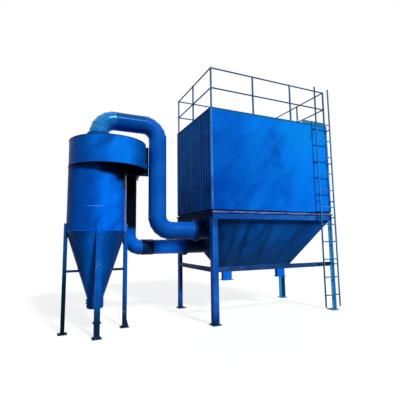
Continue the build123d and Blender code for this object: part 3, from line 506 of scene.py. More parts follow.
# Painted highlight: a pale cyan glow over the upper right of the front.
add_patch(front_enamel, (0.001, 0.26, 0.78), 0.55, along_x=(1.0, 2.3), along_z=(3.2, 3.9))
add_patch(front_enamel, (0.0006, 0.15, 0.78), 0.45, along_x=(0.9, 2.0), along_z=(3.1, 2.5))
add_patch(front_enamel, (0.003, 0.13, 0.36), 0.75, along_z=(4.02, 4.1))
rear_enamel = enamel(
    "rear_enamel", (0.001, 0.115, 0.6), (0.002, 0.2, 0.82), seed=23.0, cloud_scale=1.1, fading=0.6,
    runs=0.3, smudges=0.4, dullness=0.34, buckle=0.6,
)
rib_enamel = enamel(
    "rib_enamel", (0.002, 0.145, 0.58), (0.006, 0.25, 0.74), specular=0.04, seed=24.0, fading=0.6,
    runs=0.7, smudges=0.6, strokes=0.3, stain=0.4, stain_low=2.0, stain_high=3.3,
    stain_colour=(0.001, 0.04, 0.2), dullness=0.4, buckle=0.2,
)
dress(front_enamel, "casing_front")
dress(rear_enamel, "casing_rear")
dress(rib_enamel, "casing_left", "casing_right")


def push_plate(mesh, outline, push):
    """A flat plate cut to an outline and given its thickness."""
    corners = [mesh.verts.new(point) for point in outline]
    face = mesh.faces.new(corners)
    grown = bmesh.ops.extrude_face_region(mesh, geom=[face], use_keep_orig=True)["geom"]
    pushed = [item for item in grown if isinstance(item, bmesh.types.BMVert)]
    bmesh.ops.translate(mesh, vec=push, verts=pushed)


# Painted highlight: the corner strips are coated paler than the casing, as light along the upright edges.
corner_strip_highlight = enamel(
    "corner_strip_highlight", (0.008, 0.13, 0.5), (0.09, 0.32, 0.66), seed=26.0, cloud_scale=3.0, fading=0.8,
    runs=0.1, chips=0.5, dullness=0.4, buckle=0.0,
)
STRIP_WIDTH = 0.03
STRIP_SHEET = 0.002
front_low, front_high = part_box("casing_front")
rear_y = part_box("casing_rear")[1][1]
panel_rise = front_high[2] - front_low[2]
strip_profile = (
    (-STRIP_SHEET, -STRIP_SHEET), (STRIP_WIDTH, -STRIP_SHEET), (STRIP_WIDTH, 0.0), (0.0, 0.0),
    (0.0, STRIP_WIDTH), (-STRIP_SHEET, STRIP_WIDTH),
)
corner_strips = bmesh.new()
for x, x_way, y, y_way in upright_corners(front_low, (front_high[0], rear_y)):
    outline = [(x + x_way * along, y + y_way * deep, front_low[2]) for along, deep in strip_profile]
    push_plate(corner_strips, outline, (0.0, 0.0, panel_rise))
settle("casing_corner_strips", corner_strips, corner_strip_highlight)

RIB_COUNT = 16
SCREW = 0.011
SCREW_ROWS = (2.15, 3.1, 4.06)
side_low, side_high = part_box("casing_left")
rib_pitch = (side_high[1] - side_low[1]) / RIB_COUNT
rib_screws = bmesh.new()
for x, way in ((front_low[0], -1.0), (front_high[0], 1.0)):
    for rib in range(RIB_COUNT):
        for z in SCREW_ROWS:
            spot = (x, side_low[1] + rib_pitch * (rib + 0.5), z)
            hex_bolt(rib_screws, facing(spot, (way, 0.0, 0.0)), SCREW)
settle("rib_screws", rib_screws, fastener_enamel)

# Roof: one plate with three lifting lids over the filter bags, dusty and rain-marked from lying flat.
# Each lid has two lifting handles of bent bar and is held down by hex bolts through lugs round its edge.
ROOF_DUST = (0.03, 0.07, 0.13)
roof_enamel = enamel(
    "roof_enamel", (0.01, 0.11, 0.42), (0.10, 0.24, 0.46), seed=31.0, cloud_scale=1.8, fading=0.8,
    runs=0.0, smudges=0.6, grime=ROOF_DUST, dullness=0.5, buckle=0.4,
)
lid_enamel = enamel(
    "lid_enamel", (0.006, 0.12, 0.5), (0.08, 0.24, 0.52), seed=33.0, cloud_scale=2.6, fading=0.7,
    runs=0.0, smudges=0.5, grime=ROOF_DUST, dullness=0.45,
)
dress(roof_enamel, "casing_roof")
dress(lid_enamel, "roof_covers")

LID_COUNT = 3
LID_GAP = 0.06
HANDLE_SPAN = 0.16
HANDLE_RISE = 0.07
HANDLE_BAR = 0.007
HANDLE_FOOT = 0.006
HANDLE_INSET = 0.25
LUG = (0.045, 0.032, 0.006)
LUG_LIFT = 0.02
LUG_SHARES = (0.2, 0.8)
LID_BOLT = 0.019
LID_SHANK = 0.006
up = Vector((0.0, 0.0, 1.0))
lid_low, lid_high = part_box("roof_covers")
lid_width = (lid_high[0] - lid_low[0] - LID_GAP * (LID_COUNT - 1)) / LID_COUNT


def bent_bar(mesh, points, radius):
    """Round bar bent along a few points with easy corners."""
    route = bpy.data.curves.new("bar_route", "CURVE")
    route.dimensions = "3D"
    route.bevel_depth = radius
    route.bevel_resolution = 1
    route.use_fill_caps = True
    line = route.splines.new("NURBS")
    line.points.add(len(points) - 1)
    for control, point in zip(line.points, points):
        control.co = (*point, 1.0)
    line.order_u = 3
    line.use_endpoint_u = True
    line.resolution_u = 4
    holder = bpy.data.objects.new("bar_route", route)
    data = bpy.data.meshes.new_from_object(holder)
    mesh.from_mesh(data)
    bpy.data.objects.remove(holder)
    bpy.data.curves.remove(route)
    bpy.data.meshes.remove(data)


def block(mesh, seat, size):
    """A block centred on its seat."""
    return bmesh.ops.create_cube(mesh, size=1.0, matrix=seat @ Matrix.Diagonal((*size, 1.0)))["verts"]


def ease_edges(mesh, edges, reach, segments=1):
    """Take the sharpness off cut edges."""
    bmesh.ops.bevel(
        mesh, geom=edges, offset=reach, offset_type="OFFSET", segments=segments, profile=0.5,
        affect="EDGES", material=-1,
    )


lid_handles = bmesh.new()
lid_lugs = bmesh.new()
lid_bolts = bmesh.new()
for lid in range(LID_COUNT):
    left = lid_low[0] + lid * (lid_width + LID_GAP)
    middle = left + lid_width / 2
    for y in (lid_low[1] + HANDLE_INSET, lid_high[1] - HANDLE_INSET):
        base = Vector((middle - HANDLE_SPAN / 2, y, lid_high[2]))
        rise = up * HANDLE_RISE
        span = Vector((HANDLE_SPAN, 0.0, 0.0))
        bent_bar(
            lid_handles,
            (base, base + 0.7 * rise, base + rise, base + rise + 0.15 * span, base + rise + 0.85 * span,
             base + rise + span, base + 0.7 * rise + span, base + span),
            HANDLE_BAR,
        )
        for end in (base, base + span):
            bmesh.ops.create_cone(
                lid_handles, cap_ends=True, segments=12, radius1=2.4 * HANDLE_BAR, radius2=2.0 * HANDLE_BAR,
                depth=HANDLE_FOOT, matrix=Matrix.Translation(end + up * (HANDLE_FOOT / 2)),
            )
    for share in LUG_SHARES:
        for y, way in ((lid_low[1], -1.0), (lid_high[1], 1.0)):
            place = Vector((left + share * lid_width, y + way * LUG[1] / 2, lid_low[2] + LUG_LIFT))
            shank = Matrix.Translation((place.x, place.y, lid_low[2] + LUG_LIFT / 2))
            block(lid_lugs, Matrix.Translation(place), LUG)
            hex_bolt(lid_bolts, facing(place + up * (LUG[2] / 2), up), LID_BOLT)
            round_bar(lid_bolts, shank, LID_SHANK, LUG_LIFT)
ease_edges(lid_lugs, lid_lugs.edges[:], 0.002)
settle("lid_handles", lid_handles, lid_enamel, smooth=True)
settle("lid_lugs", lid_lugs, lid_enamel)
settle("lid_bolts", lid_bolts, fastener_enamel)

# Guard rail and ladder: square posts, round rails and rungs of welded tube, in a thin grey-blue coat.
# Posts stand on bolted foot plates, rungs are welded to the stiles, and brackets end in bolted pads.
# A toe plate of pale sheet closes the roof's front edge where the ladder lands.
rail_enamel = enamel(
    "rail_enamel", (0.003, 0.055, 0.2), (0.015, 0.12, 0.32), specular=0.04, seed=41.0, cloud_scale=5.0,
    fading=0.7, runs=0.3, chips=0.2, dullness=0.45, buckle=0.0,
)
post_enamel = enamel(
    "post_enamel", (0.025, 0.12, 0.24), (0.09, 0.25, 0.36), seed=42.0, cloud_scale=5.0, fading=0.7,
    runs=0.3, chips=0.3, dullness=0.45, buckle=0.0,
)
ladder_enamel = enamel(
    "ladder_enamel", (0.008, 0.1, 0.26), (0.04, 0.2, 0.36), seed=43.0, cloud_scale=4.0, fading=0.7,
    stain=0.5, stain_low=0.1, stain_high=1.4, stain_colour=(0.03, 0.06, 0.07), chips=0.3, dullness=0.45,
    buckle=0.0,
)
add_patch(ladder_enamel, (0.04, 0.24, 0.6), 0.8, along_z=(2.0, 2.15))
add_patch(ladder_enamel, (0.015, 0.09, 0.2), 0.9, along_z=(4.0, 4.15))
toe_enamel = enamel(
    "toe_enamel", (0.04, 0.2, 0.34), (0.12, 0.34, 0.46), seed=44.0, cloud_scale=6.0, fading=0.7, runs=0.4,
    chips=0.3, dullness=0.45, buckle=0.2,
)
dress(rail_enamel, "guard_rails")
dress(post_enamel, "guard_posts")
dress(ladder_enamel, "ladder_stiles", "ladder_rungs", "ladder_brackets")

POST_HALF = 0.014
POST_PLATE = 0.07
POST_PLATE_SHEET = 0.006
POST_PLATE_SHIFT = 0.012
POST_BOLT = 0.011
POST_BOLT_REACH = 0.025
post_low, post_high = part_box("guard_posts")
post_span = post_high[0] - post_low[0] - 2 * POST_HALF
post_xs = [post_low[0] + POST_HALF + post * post_span / 3 for post in range(4)]
post_ys = (post_low[1] + POST_HALF, (post_low[1] + post_high[1]) / 2, post_high[1] - POST_HALF)
post_places = [(x, y) for x in post_xs for y in (post_ys[0], post_ys[2])]
post_places += [(post_xs[0], post_ys[1]), (post_xs[3], post_ys[1])]
post_feet = bmesh.new()
post_bolts = bmesh.new()
for x, y in post_places:
    x_in = min(max(x, post_xs[0] + POST_PLATE_SHIFT), post_xs[3] - POST_PLATE_SHIFT)
    y_in = min(max(y, post_ys[0] + POST_PLATE_SHIFT), post_ys[2] - POST_PLATE_SHIFT)
    seat = Matrix.Translation((x_in, y_in, post_low[2] + POST_PLATE_SHEET / 2))
    block(post_feet, seat, (POST_PLATE, POST_PLATE, POST_PLATE_SHEET))
    for x_bolt in (x_in - POST_BOLT_REACH, x_in + POST_BOLT_REACH):
        for y_bolt in (y_in - POST_BOLT_REACH, y_in + POST_BOLT_REACH):
            place = (x_bolt, y_bolt, post_low[2] + POST_PLATE_SHEET)
            hex_bolt(post_bolts, facing(place, up), POST_BOLT)
ease_edges(post_feet, post_feet.edges[:], 0.0015)
settle("post_foot_plates", post_feet, post_enamel)
settle("post_foot_bolts", post_bolts, fastener_enamel)

TOE_RISE = 0.075
TOE_SHEET = 0.005
TOE_FOLD = 0.03
TOE_SETBACK = 0.012
TOE_PAST_LADDER = 0.28
TOE_END_GAP = 0.04
roof_low, roof_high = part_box("casing_roof")
ladder_low, ladder_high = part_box("ladder_stiles")
right_stile = (ladder_high[0] - 0.06, ladder_high[0] - 0.045)
add_patch(ladder_enamel, (0.12, 0.27, 0.38), 0.6, along_x=right_stile)
toe_plate = bmesh.new()
toe_front = roof_low[1] + TOE_SETBACK
toe_start = ladder_low[0] - TOE_PAST_LADDER
toe_profile = (
    (0.0, 0.0), (TOE_FOLD, 0.0), (TOE_FOLD, TOE_SHEET), (TOE_SHEET, TOE_SHEET), (TOE_SHEET, TOE_RISE),
    (0.0, TOE_RISE),
)
toe_outline = [(toe_start, toe_front + deep, roof_high[2] + rise) for deep, rise in toe_profile]
push_plate(toe_plate, toe_outline, (roof_high[0] - TOE_END_GAP - toe_start, 0.0, 0.0))
settle("ladder_toe_plate", toe_plate, toe_enamel)


def bead_round(mesh, seam, radius, size, turn=2 * math.pi, steps=48, stretch=1.0):
    """A weld bead laid round a tube, stretched where the seam cuts the tube on the slant."""
    for vert in mesh.verts:
        vert.tag = True
    upright = Matrix.Translation((radius, 0.0, 0.0)) @ Matrix.Rotation(math.pi / 2, 4, "X")
    section = bmesh.ops.create_circle(mesh, segments=6, radius=size, matrix=upright)["verts"]
    whole = turn > 2 * math.pi - 0.01
    bmesh.ops.spin(
        mesh, geom=section + edges_of(section), cent=(0.0, 0.0, 0.0), axis=(0.0, 0.0, 1.0), angle=turn,
        steps=steps, use_merge=whole,
    )
    laid = [vert for vert in mesh.verts if not vert.tag]
    bmesh.ops.transform(mesh, matrix=seam @ Matrix.Diagonal((stretch, 1.0, 1.0, 1.0)), verts=laid)


RUNG_COUNT = 11
RUNG_RADIUS = 0.012
RUNG_BEAD = 0.003
RUNG_BEAD_INSET = 0.002
rung_low, rung_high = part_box("ladder_rungs")
rung_pitch = (rung_high[2] - rung_low[2] - 2 * RUNG_RADIUS) / (RUNG_COUNT - 1)
rung_y = (rung_low[1] + rung_high[1]) / 2
rung_welds = bmesh.new()
for rung in range(RUNG_COUNT):
    z = rung_low[2] + RUNG_RADIUS + rung * rung_pitch
    for x in (rung_low[0] + RUNG_BEAD_INSET, rung_high[0] - RUNG_BEAD_INSET):
        bead_round(rung_welds, facing((x, rung_y, z), (1.0, 0.0, 0.0)), RUNG_RADIUS, RUNG_BEAD, steps=14)
settle("rung_welds", rung_welds, ladder_enamel, smooth=True)

PAD = (0.044, 0.004, 0.052)
PAD_SHARES = (0.12, 0.55, 0.94)
PAD_BOLT = 0.013
PAD_BOLT_RISE = 0.017
BRACKET_HALF = 0.011
bracket_low, bracket_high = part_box("ladder_brackets")
pad_zs = [front_low[2] + share * panel_rise for share in PAD_SHARES] + [(beam_low[2] + beam_high[2]) / 2]
bracket_pads = bmesh.new()
pad_bolts = bmesh.new()
for x in (bracket_low[0] + BRACKET_HALF, bracket_high[0] - BRACKET_HALF):
    x_in = min(x, front_high[0] - PAD[0] / 2)
    for z in pad_zs:
        block(bracket_pads, Matrix.Translation((x_in, front_low[1] - PAD[1] / 2, z)), PAD)
        for bolt_z in (z - PAD_BOLT_RISE, z + PAD_BOLT_RISE):
            hex_bolt(pad_bolts, facing((x_in, front_low[1] - PAD[1], bolt_z), (0.0, -1.0, 0.0)), PAD_BOLT)
ease_edges(bracket_pads, bracket_pads.edges[:], 0.001)
settle("ladder_bracket_pads", bracket_pads, front_enamel)
settle("ladder_pad_bolts", pad_bolts, front_enamel)

# Cyclone stand: four folded channels welded to the barrel, tied to the cone by short square struts.
# Their dark enamel goes black with splashed mud at the feet, and is chipped to pale primer in places.
# A triangular gusset stiffens the right and rear foot plates on their outer sides.
stand_enamel = enamel(
    "stand_enamel", (0.0015, 0.074, 0.38), (0.006, 0.115, 0.48), specular=0.05, seed=52.0,
    cloud_scale=3.0, fading=0.6, runs=0.3, smudges=0.3, stain=0.95, stain_low=0.14, stain_high=0.8,
    stain_colour=(0.004, 0.014, 0.035), chips=0.7, dullness=0.4, buckle=0.1,
)
add_patch(stand_enamel, (0.001, 0.11, 0.62), 0.95, along_z=(1.62, 1.72))
add_patch(stand_enamel, (0.005, 0.06, 0.15), 0.8, along_x=(-2.62, -2.66))
# Painted shade: the left leg goes near black from about 1.6 m down.
add_patch(stand_enamel, (0.001, 0.007, 0.012), 0.95, along_x=(-2.62, -2.66), along_z=(1.6, 0.7))
strut_enamel = enamel(
    "strut_enamel", (0.0012, 0.024, 0.08), (0.004, 0.05, 0.14), specular=0.05, seed=55.0, cloud_scale=5.0,
    fading=0.6, runs=0.3, smudges=0.4, chips=0.2, dullness=0.45, buckle=0.0,
)
add_patch(strut_enamel, (0.0005, 0.006, 0.018), 0.85, along_x=(-2.0, -1.9))
dress(stand_enamel, "cyclone_legs")
dress(strut_enamel, "cone_struts")

AXIS_X = -2.20575
AXIS_Y = -0.241
STAND_REACH = 0.548
REAR_SHIFT = 0.107
FRONT_SHIFT = -0.03
FOOT_SHEET = 0.014
LEG_HALF_WIDTH = 0.045
LEG_DEPTH = 0.064
FOOT_BEAD = 0.005
GUSSET_REACH = 0.04
GUSSET_RISE = 0.13
GUSSET_SHEET = 0.008
GUSSET_NOSE = 0.012
GUSSET_CROWN = 0.006
stand_feet = (
    ((AXIS_X + STAND_REACH, AXIS_Y), (1.0, 0.0)),
    ((AXIS_X + REAR_SHIFT, AXIS_Y + STAND_REACH), (0.0, 1.0)),
    ((AXIS_X - STAND_REACH, AXIS_Y), (-1.0, 0.0)),
    ((AXIS_X + FRONT_SHIFT, AXIS_Y - STAND_REACH), (0.0, -1.0)),
)
foot_gussets = bmesh.new()
foot_welds = bmesh.new()
for place, way in stand_feet[:2]:
    out = Vector((*way, 0.0))
    across = Vector((-way[1], way[0], 0.0))
    root = Vector((*place, FOOT_SHEET)) - across * GUSSET_SHEET / 2
    toe = root + out * GUSSET_REACH
    crown = root + out * GUSSET_CROWN + up * GUSSET_RISE
    outline = (root, toe, toe + up * GUSSET_NOSE, crown, root + up * GUSSET_RISE)
    push_plate(foot_gussets, outline, across * GUSSET_SHEET)
for place, way in stand_feet:
    out = Vector((*way, 0.0))
    across = Vector((-way[1], way[0], 0.0))
    foot = Vector((*place, FOOT_SHEET))
    bead_line(foot_welds, foot - across * LEG_HALF_WIDTH, foot + across * LEG_HALF_WIDTH, FOOT_BEAD)
    for side in (-1.0, 1.0):
        edge = foot + across * side * LEG_HALF_WIDTH
        bead_line(foot_welds, edge, edge - out * LEG_DEPTH, FOOT_BEAD)
settle("foot_gussets", foot_gussets, stand_enamel)
settle("foot_welds", foot_welds, stand_enamel, smooth=True)

# Cyclone body: a rolled barrel over a long cone, with a small dust pot at the bottom, all welded plate.
# The enamel is a thick coat, painted black beneath the inlet as the head's shadow; the seams are painted
# weld beads.
# The pot hangs from three swing bolts so that it can be taken off and emptied.
# The barrel's pale slanting strokes are partly painted reflection.
barrel_enamel = enamel(
    "barrel_enamel", (0.0008, 0.13, 0.78), (0.001, 0.2, 0.9), specular=0.03, seed=152.2, cloud_scale=1.6,
    smudges=0.35, grime=(0.001, 0.035, 0.22), strokes=0.55, stroke_scale=1.9, dullness=0.36,
)
# Painted shade: the barrel's left half, its left edge and its right edge are darker, as light falls on a
# round body.
add_patch(barrel_enamel, (0.001, 0.045, 0.27), 0.75, along_x=(-2.12, -2.44))
add_patch(barrel_enamel, (0.001, 0.035, 0.17), 0.6, along_x=(-2.55, -2.72))
add_patch(barrel_enamel, (0.001, 0.05, 0.3), 0.7, along_x=(-1.94, -1.76))
# Painted shadow: the barrel's shoulder under the head's overhang goes near black on the inlet side.
HEAD_SHADOW_BLACK = (0.0008, 0.004, 0.013)
add_patch(barrel_enamel, HEAD_SHADOW_BLACK, 0.93, along_x=(-2.34, -2.14), along_z=(2.64, 2.74))
add_patch(barrel_enamel, HEAD_SHADOW_BLACK, 0.93, along_x=(-2.06, -1.9), along_z=(2.52, 2.64))
add_patch(barrel_enamel, HEAD_SHADOW_BLACK, 0.93, along_x=(-1.88, -1.76), along_z=(2.38, 2.52))
cone_enamel = enamel(
    "cone_enamel", (0.0012, 0.12, 0.6), (0.002, 0.18, 0.74), specular=0.06, seed=63.0, cloud_scale=2.0,
    runs=0.5, smudges=0.5, grime=(0.001, 0.03, 0.17), strokes=0.2, dullness=0.38,
)
# Painted shade: the cone's left and right flanks are darker, as light falls on a round body.
add_patch(cone_enamel, (0.001, 0.035, 0.19), 0.85, along_x=(-2.25, -1.98))
add_patch(cone_enamel, (0.001, 0.03, 0.16), 0.8, along_x=(-2.28, -2.52))
add_patch(cone_enamel, (0.002, 0.04, 0.21), 0.8, along_z=(0.66, 0.52))
dress(barrel_enamel, "cyclone_barrel")
dress(cone_enamel, "cyclone_cone", "dust_pot")

BARREL_RADIUS = 0.512
NECK_RADIUS = 0.133
NECK_SEAM = 0.004
GIRTH_Z = 2.123
SEAM_BEAD = 0.005
SIDE_BEAD = 0.004
LOWER_SEAM_TURN = 2.4
UPPER_SEAM_TURN = 2.9
CONE_SEAM_TURN = 2.6
barrel_low, barrel_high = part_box("cyclone_barrel")
cone_low, cone_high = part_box("cyclone_cone")
axis = Vector((AXIS_X, AXIS_Y, 0.0))
body_welds = bmesh.new()
bead_round(body_welds, facing(axis + up * GIRTH_Z, up), BARREL_RADIUS, SEAM_BEAD, steps=128)
bead_round(body_welds, facing(axis + up * barrel_low[2], up), BARREL_RADIUS, SEAM_BEAD, steps=128)
bead_round(body_welds, facing(axis + up * cone_low[2], up), NECK_RADIUS + NECK_SEAM, SEAM_BEAD, steps=64)
side_seams = (
    (LOWER_SEAM_TURN, barrel_low[2], GIRTH_Z),
    (UPPER_SEAM_TURN, GIRTH_Z, barrel_high[2]),
)
for turn, low, high in side_seams:
    place = axis + Vector((math.cos(turn), math.sin(turn), 0.0)) * BARREL_RADIUS
    bead_line(body_welds, place + up * low, place + up * high, SIDE_BEAD)
outward = Vector((math.cos(CONE_SEAM_TURN), math.sin(CONE_SEAM_TURN), 0.0))
seam_low = axis + outward * NECK_RADIUS + up * cone_low[2]
seam_high = axis + outward * BARREL_RADIUS + up * cone_high[2]
bead_line(body_welds, seam_low, seam_high, SIDE_BEAD)
weld_enamel = enamel(
    "weld_enamel", (0.0008, 0.1, 0.6), (0.001, 0.15, 0.72), seed=66.0, cloud_scale=1.6, runs=0.0,
    smudges=0.5, dullness=0.36, buckle=0.0,
)
# Painted highlight: a stretch of the girth bead at the front is pale; the next line keeps the rest plain.
add_patch(weld_enamel, (0.08, 0.4, 0.95), 0.85, along_x=(-2.46, -2.36), along_z=(2.05, 2.1))
add_patch(weld_enamel, (0.0008, 0.1, 0.6), 1.0, along_x=(-2.22, -2.12))
settle("body_welds", body_welds, weld_enamel, smooth=True)

POT_RADIUS = 0.143
POT_CLAMPS = 3
POT_CLAMP_TURN = 0.5
CLAMP_LUG = (0.036, 0.03, 0.008)
CLAMP_LUG_OUT = 0.012
CLAMP_LUG_DROPS = (0.03, 0.085)
SWING_BOLT = 0.016
SWING_BOLT_OUT = 0.016
SWING_BOLT_DROP = 0.026
SWING_SHANK = 0.005
SWING_SHANK_LENGTH = 0.08
SWING_SHANK_DROP = 0.06
pot_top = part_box("dust_pot")[1][2]
pot_clamps = bmesh.new()
pot_bolts = bmesh.new()
for clamp in range(POT_CLAMPS):
    turn = Matrix.Rotation(2 * math.pi * clamp / POT_CLAMPS + POT_CLAMP_TURN, 4, "Z")
    hub = Matrix.Translation(axis) @ turn
    for drop in CLAMP_LUG_DROPS:
        lug_seat = hub @ Matrix.Translation((POT_RADIUS + CLAMP_LUG_OUT, 0.0, pot_top - drop))
        block(pot_clamps, lug_seat, CLAMP_LUG)
    head = hub @ Matrix.Translation((POT_RADIUS + SWING_BOLT_OUT, 0.0, pot_top - SWING_BOLT_DROP))
    shank = hub @ Matrix.Translation((POT_RADIUS + SWING_BOLT_OUT, 0.0, pot_top - SWING_SHANK_DROP))
    hex_bolt(pot_bolts, head, SWING_BOLT)
    round_bar(pot_bolts, shank, SWING_SHANK, SWING_SHANK_LENGTH)
ease_edges(pot_clamps, pot_clamps.edges[:], 0.002)
settle("pot_clamps", pot_clamps, cone_enamel)
settle("pot_bolts", pot_bolts, fastener_enamel)

# Cyclone head: a scroll-shaped inlet chamber of flat plates and a rolled wall, welded on the barrel.
# Its underside is painted near black as shade; a bolted joint of flat bar, painted dark as shade, closes
# round the inlet mouth.
head_enamel = enamel(
    "head_enamel", (0.0008, 0.15, 0.76), (0.001, 0.23, 0.92), specular=0.06, seed=182.5, cloud_scale=1.5,
    runs=0.15, smudges=0.3, grime=(0.001, 0.03, 0.17), strokes=0.6, stroke_scale=1.7, dullness=0.36,
)
# Painted shade: the head's left side and its right end are darker, as the light falls.
add_patch(head_enamel, (0.001, 0.04, 0.24), 0.8, along_x=(-1.9, -2.6))
add_patch(head_enamel, (0.001, 0.04, 0.22), 0.75, along_x=(-1.92, -1.52))
head_roof_enamel = enamel(
    "head_roof_enamel", (0.006, 0.1, 0.45), (0.06, 0.2, 0.5), seed=72.0, cloud_scale=2.4, fading=0.7,
    runs=0.0, smudges=0.5, grime=(0.02, 0.05, 0.11), dullness=0.45,
)
# Painted shade: the head's floor is near black, as the shade under the overhang.
underside_shade_black = enamel(
    "underside_shade_black", (0.0008, 0.002, 0.006), (0.002, 0.006, 0.018), specular=0.0, seed=73.0, cloud_scale=4.0,
    runs=0.0, dullness=0.7, buckle=0.1,
)
# Painted shade: the inlet joint and its bolts are near black, as the shade between the head and the drop
# duct.
joint_shade_enamel = enamel(
    "joint_shade_enamel", (0.0015, 0.008, 0.03), (0.004, 0.025, 0.09), seed=74.0, cloud_scale=5.0, runs=0.3,
    chips=0.2, dullness=0.45, buckle=0.0,
)
inlet_flange_enamel = enamel(
    "inlet_flange_enamel", (0.004, 0.06, 0.3), (0.03, 0.12, 0.36), seed=75.0, cloud_scale=6.0, runs=0.3,
    chips=0.3, dullness=0.45, buckle=0.0,
)
dress(head_enamel, "volute_wall", "volute_rear_wall", "inlet_walls", "vortex_finder")
dress(head_roof_enamel, "volute_roof")
dress(underside_shade_black, "volute_floor")
dress(joint_shade_enamel, "inlet_joint")
dress(inlet_flange_enamel, "inlet_flange")

JOINT_BOLT = 0.016
JOINT_PITCH = 0.095
JOINT_GAP = 0.008
JOINT_EDGE = 0.024
joint_low, joint_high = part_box("inlet_joint")
mouth_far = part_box("inlet_walls")[1]
joint_rise = joint_high[2] - joint_low[2] - 2 * JOINT_EDGE
bar_x = (mouth_far[0] + JOINT_GAP + joint_high[0]) / 2
bar_spots = [(bar_x, joint_low[2] + JOINT_EDGE + step * joint_rise / 6) for step in range(7)]
for step in range(1, 5):
    x = bar_x - step * JOINT_PITCH
    bar_spots += [(x, joint_high[2] - JOINT_EDGE), (x, joint_low[2] + JOINT_EDGE)]
joint_bolts = bmesh.new()
for x, z in bar_spots:
    hex_bolt(joint_bolts, facing((x, joint_low[1], z), (0.0, -1.0, 0.0)), JOINT_BOLT)
    hex_bolt(joint_bolts, facing((x, joint_high[1], z), (0.0, 1.0, 0.0)), JOINT_BOLT)
settle("inlet_joint_bolts", joint_bolts, joint_shade_enamel)

SCROLL_RADIUS = 0.686
SCROLL_X = -2.03175
HEAD_SHEET = 0.006
HEAD_BEAD = 0.004
OUTLET_SEAM = 0.176
OUTLET_BEAD = 0.006
head_floor_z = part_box("volute_floor")[0][2]
head_top_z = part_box("volute_roof")[1][2]
scroll = Vector((SCROLL_X, AXIS_Y, 0.0))
head_welds = bmesh.new()
for z in (head_floor_z + HEAD_SHEET, head_top_z - HEAD_SHEET):
    front_half = Matrix.Translation(scroll + up * z) @ Matrix.Rotation(math.pi, 4, "Z")
    rear_half = Matrix.Translation(axis + up * z)
    bead_round(head_welds, front_half, SCROLL_RADIUS, HEAD_BEAD, turn=math.pi, steps=72)
    bead_round(head_welds, rear_half, BARREL_RADIUS, HEAD_BEAD, turn=math.pi, steps=72)
    bead_line(head_welds, (mouth_far[0], AXIS_Y, z), (mouth_far[0], mouth_far[1], z), HEAD_BEAD)
bead_round(head_welds, facing(axis + up * head_top_z, up), OUTLET_SEAM, OUTLET_BEAD, steps=64)
settle("head_welds", head_welds, head_enamel, smooth=True)

# Ducts: the cleaned gas crosses from the cyclone's top in a wide duct, a narrower one returns below it.
# Both are rolled from thin sheet, the bends gored and welded, in the glossiest coat on the plant.
# Bolted flange rings join them to the cyclone and the hopper; the riser's upper part is near black.
DUCT_GRIME = (0.001, 0.03, 0.15)
crossing_enamel = enamel(
    "crossing_enamel", (0.0015, 0.065, 0.3), (0.005, 0.14, 0.46), specular=0.07, seed=81.0,
    cloud_scale=1.8, fading=0.4, runs=0.15, smudges=0.4, grime=DUCT_GRIME, dullness=0.15,
    buckle=0.1,
)
top_bend_enamel = enamel(
    "top_bend_enamel", (0.002, 0.1, 0.4), (0.01, 0.19, 0.52), specular=0.5, seed=82.0, cloud_scale=3.2,
    fading=0.6, runs=0.1, smudges=0.5, grime=DUCT_GRIME, dullness=0.16, buckle=0.1,
)
# Painted highlight: the bend's left side is lighter cyan.
add_patch(top_bend_enamel, (0.02, 0.26, 0.54), 0.5, along_x=(-1.95, -2.25))
drop_enamel = enamel(
    "drop_enamel", (0.0015, 0.08, 0.42), (0.006, 0.16, 0.64), specular=0.15, seed=83.0, cloud_scale=2.0,
    fading=0.45, smudges=0.4, grime=DUCT_GRIME, dullness=0.32, buckle=0.2,
)
return_enamel = enamel(
    "return_enamel", (0.0012, 0.11, 0.62), (0.004, 0.18, 0.76), specular=0.15, seed=84.0, cloud_scale=2.0,
    fading=0.45, runs=0.1, smudges=0.5, grime=(0.001, 0.02, 0.1), dullness=0.34, buckle=0.2,
)
riser_enamel = enamel(
    "riser_enamel", (0.0015, 0.085, 0.46), (0.006, 0.16, 0.64), specular=0.05, seed=85.0, cloud_scale=2.0,
    fading=0.45, runs=0.1, stain=1.0, stain_low=1.82, stain_high=1.73,
    stain_colour=(0.0012, 0.0025, 0.008), dullness=0.4, buckle=0.1,
)
ring_enamel = enamel(
    "ring_enamel", (0.002, 0.055, 0.28), (0.008, 0.1, 0.4), seed=86.0, cloud_scale=6.0, chips=0.15,
    dullness=0.4, buckle=0.0,
)
add_patch(ring_enamel, (0.0015, 0.09, 0.46), 0.9, along_x=(-0.318, -0.312))
# Painted shade: the branch, its flange ring and the return run go near black by the hopper's left wall.
add_patch(ring_enamel, HOPPER_SIDE_SHADE, 0.95, along_x=(-0.296, -0.286))
add_patch(drop_enamel, HOPPER_SIDE_SHADE, 0.95, along_x=(-0.32, -0.27))
add_patch(return_enamel, HOPPER_SIDE_SHADE, 0.95, along_x=(-0.4, -0.34))
dress(top_bend_enamel, "outlet_bend_top")
dress(crossing_enamel, "outlet_crossover", "duct_stay")
dress(drop_enamel, "outlet_bend_down", "outlet_drop", "outlet_bend_bottom", "outlet_branch")
dress(return_enamel, "inlet_bend", "inlet_run")
dress(riser_enamel, "inlet_riser")
dress(ring_enamel, "duct_flanges")

OUTLET_RADIUS = 0.175
OUTLET_BEND = 0.285
RETURN_RADIUS = 0.148
RETURN_BEND = 0.25
DUCT_BEAD = 0.0035
BEND_CUTS = 5


def centre_of(name):
    """The middle of a CAD node's box."""
    return [(low + high) / 2 for low, high in zip(*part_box(name))]


right = Vector((1.0, 0.0, 0.0))
cross_z = centre_of("outlet_crossover")[2]
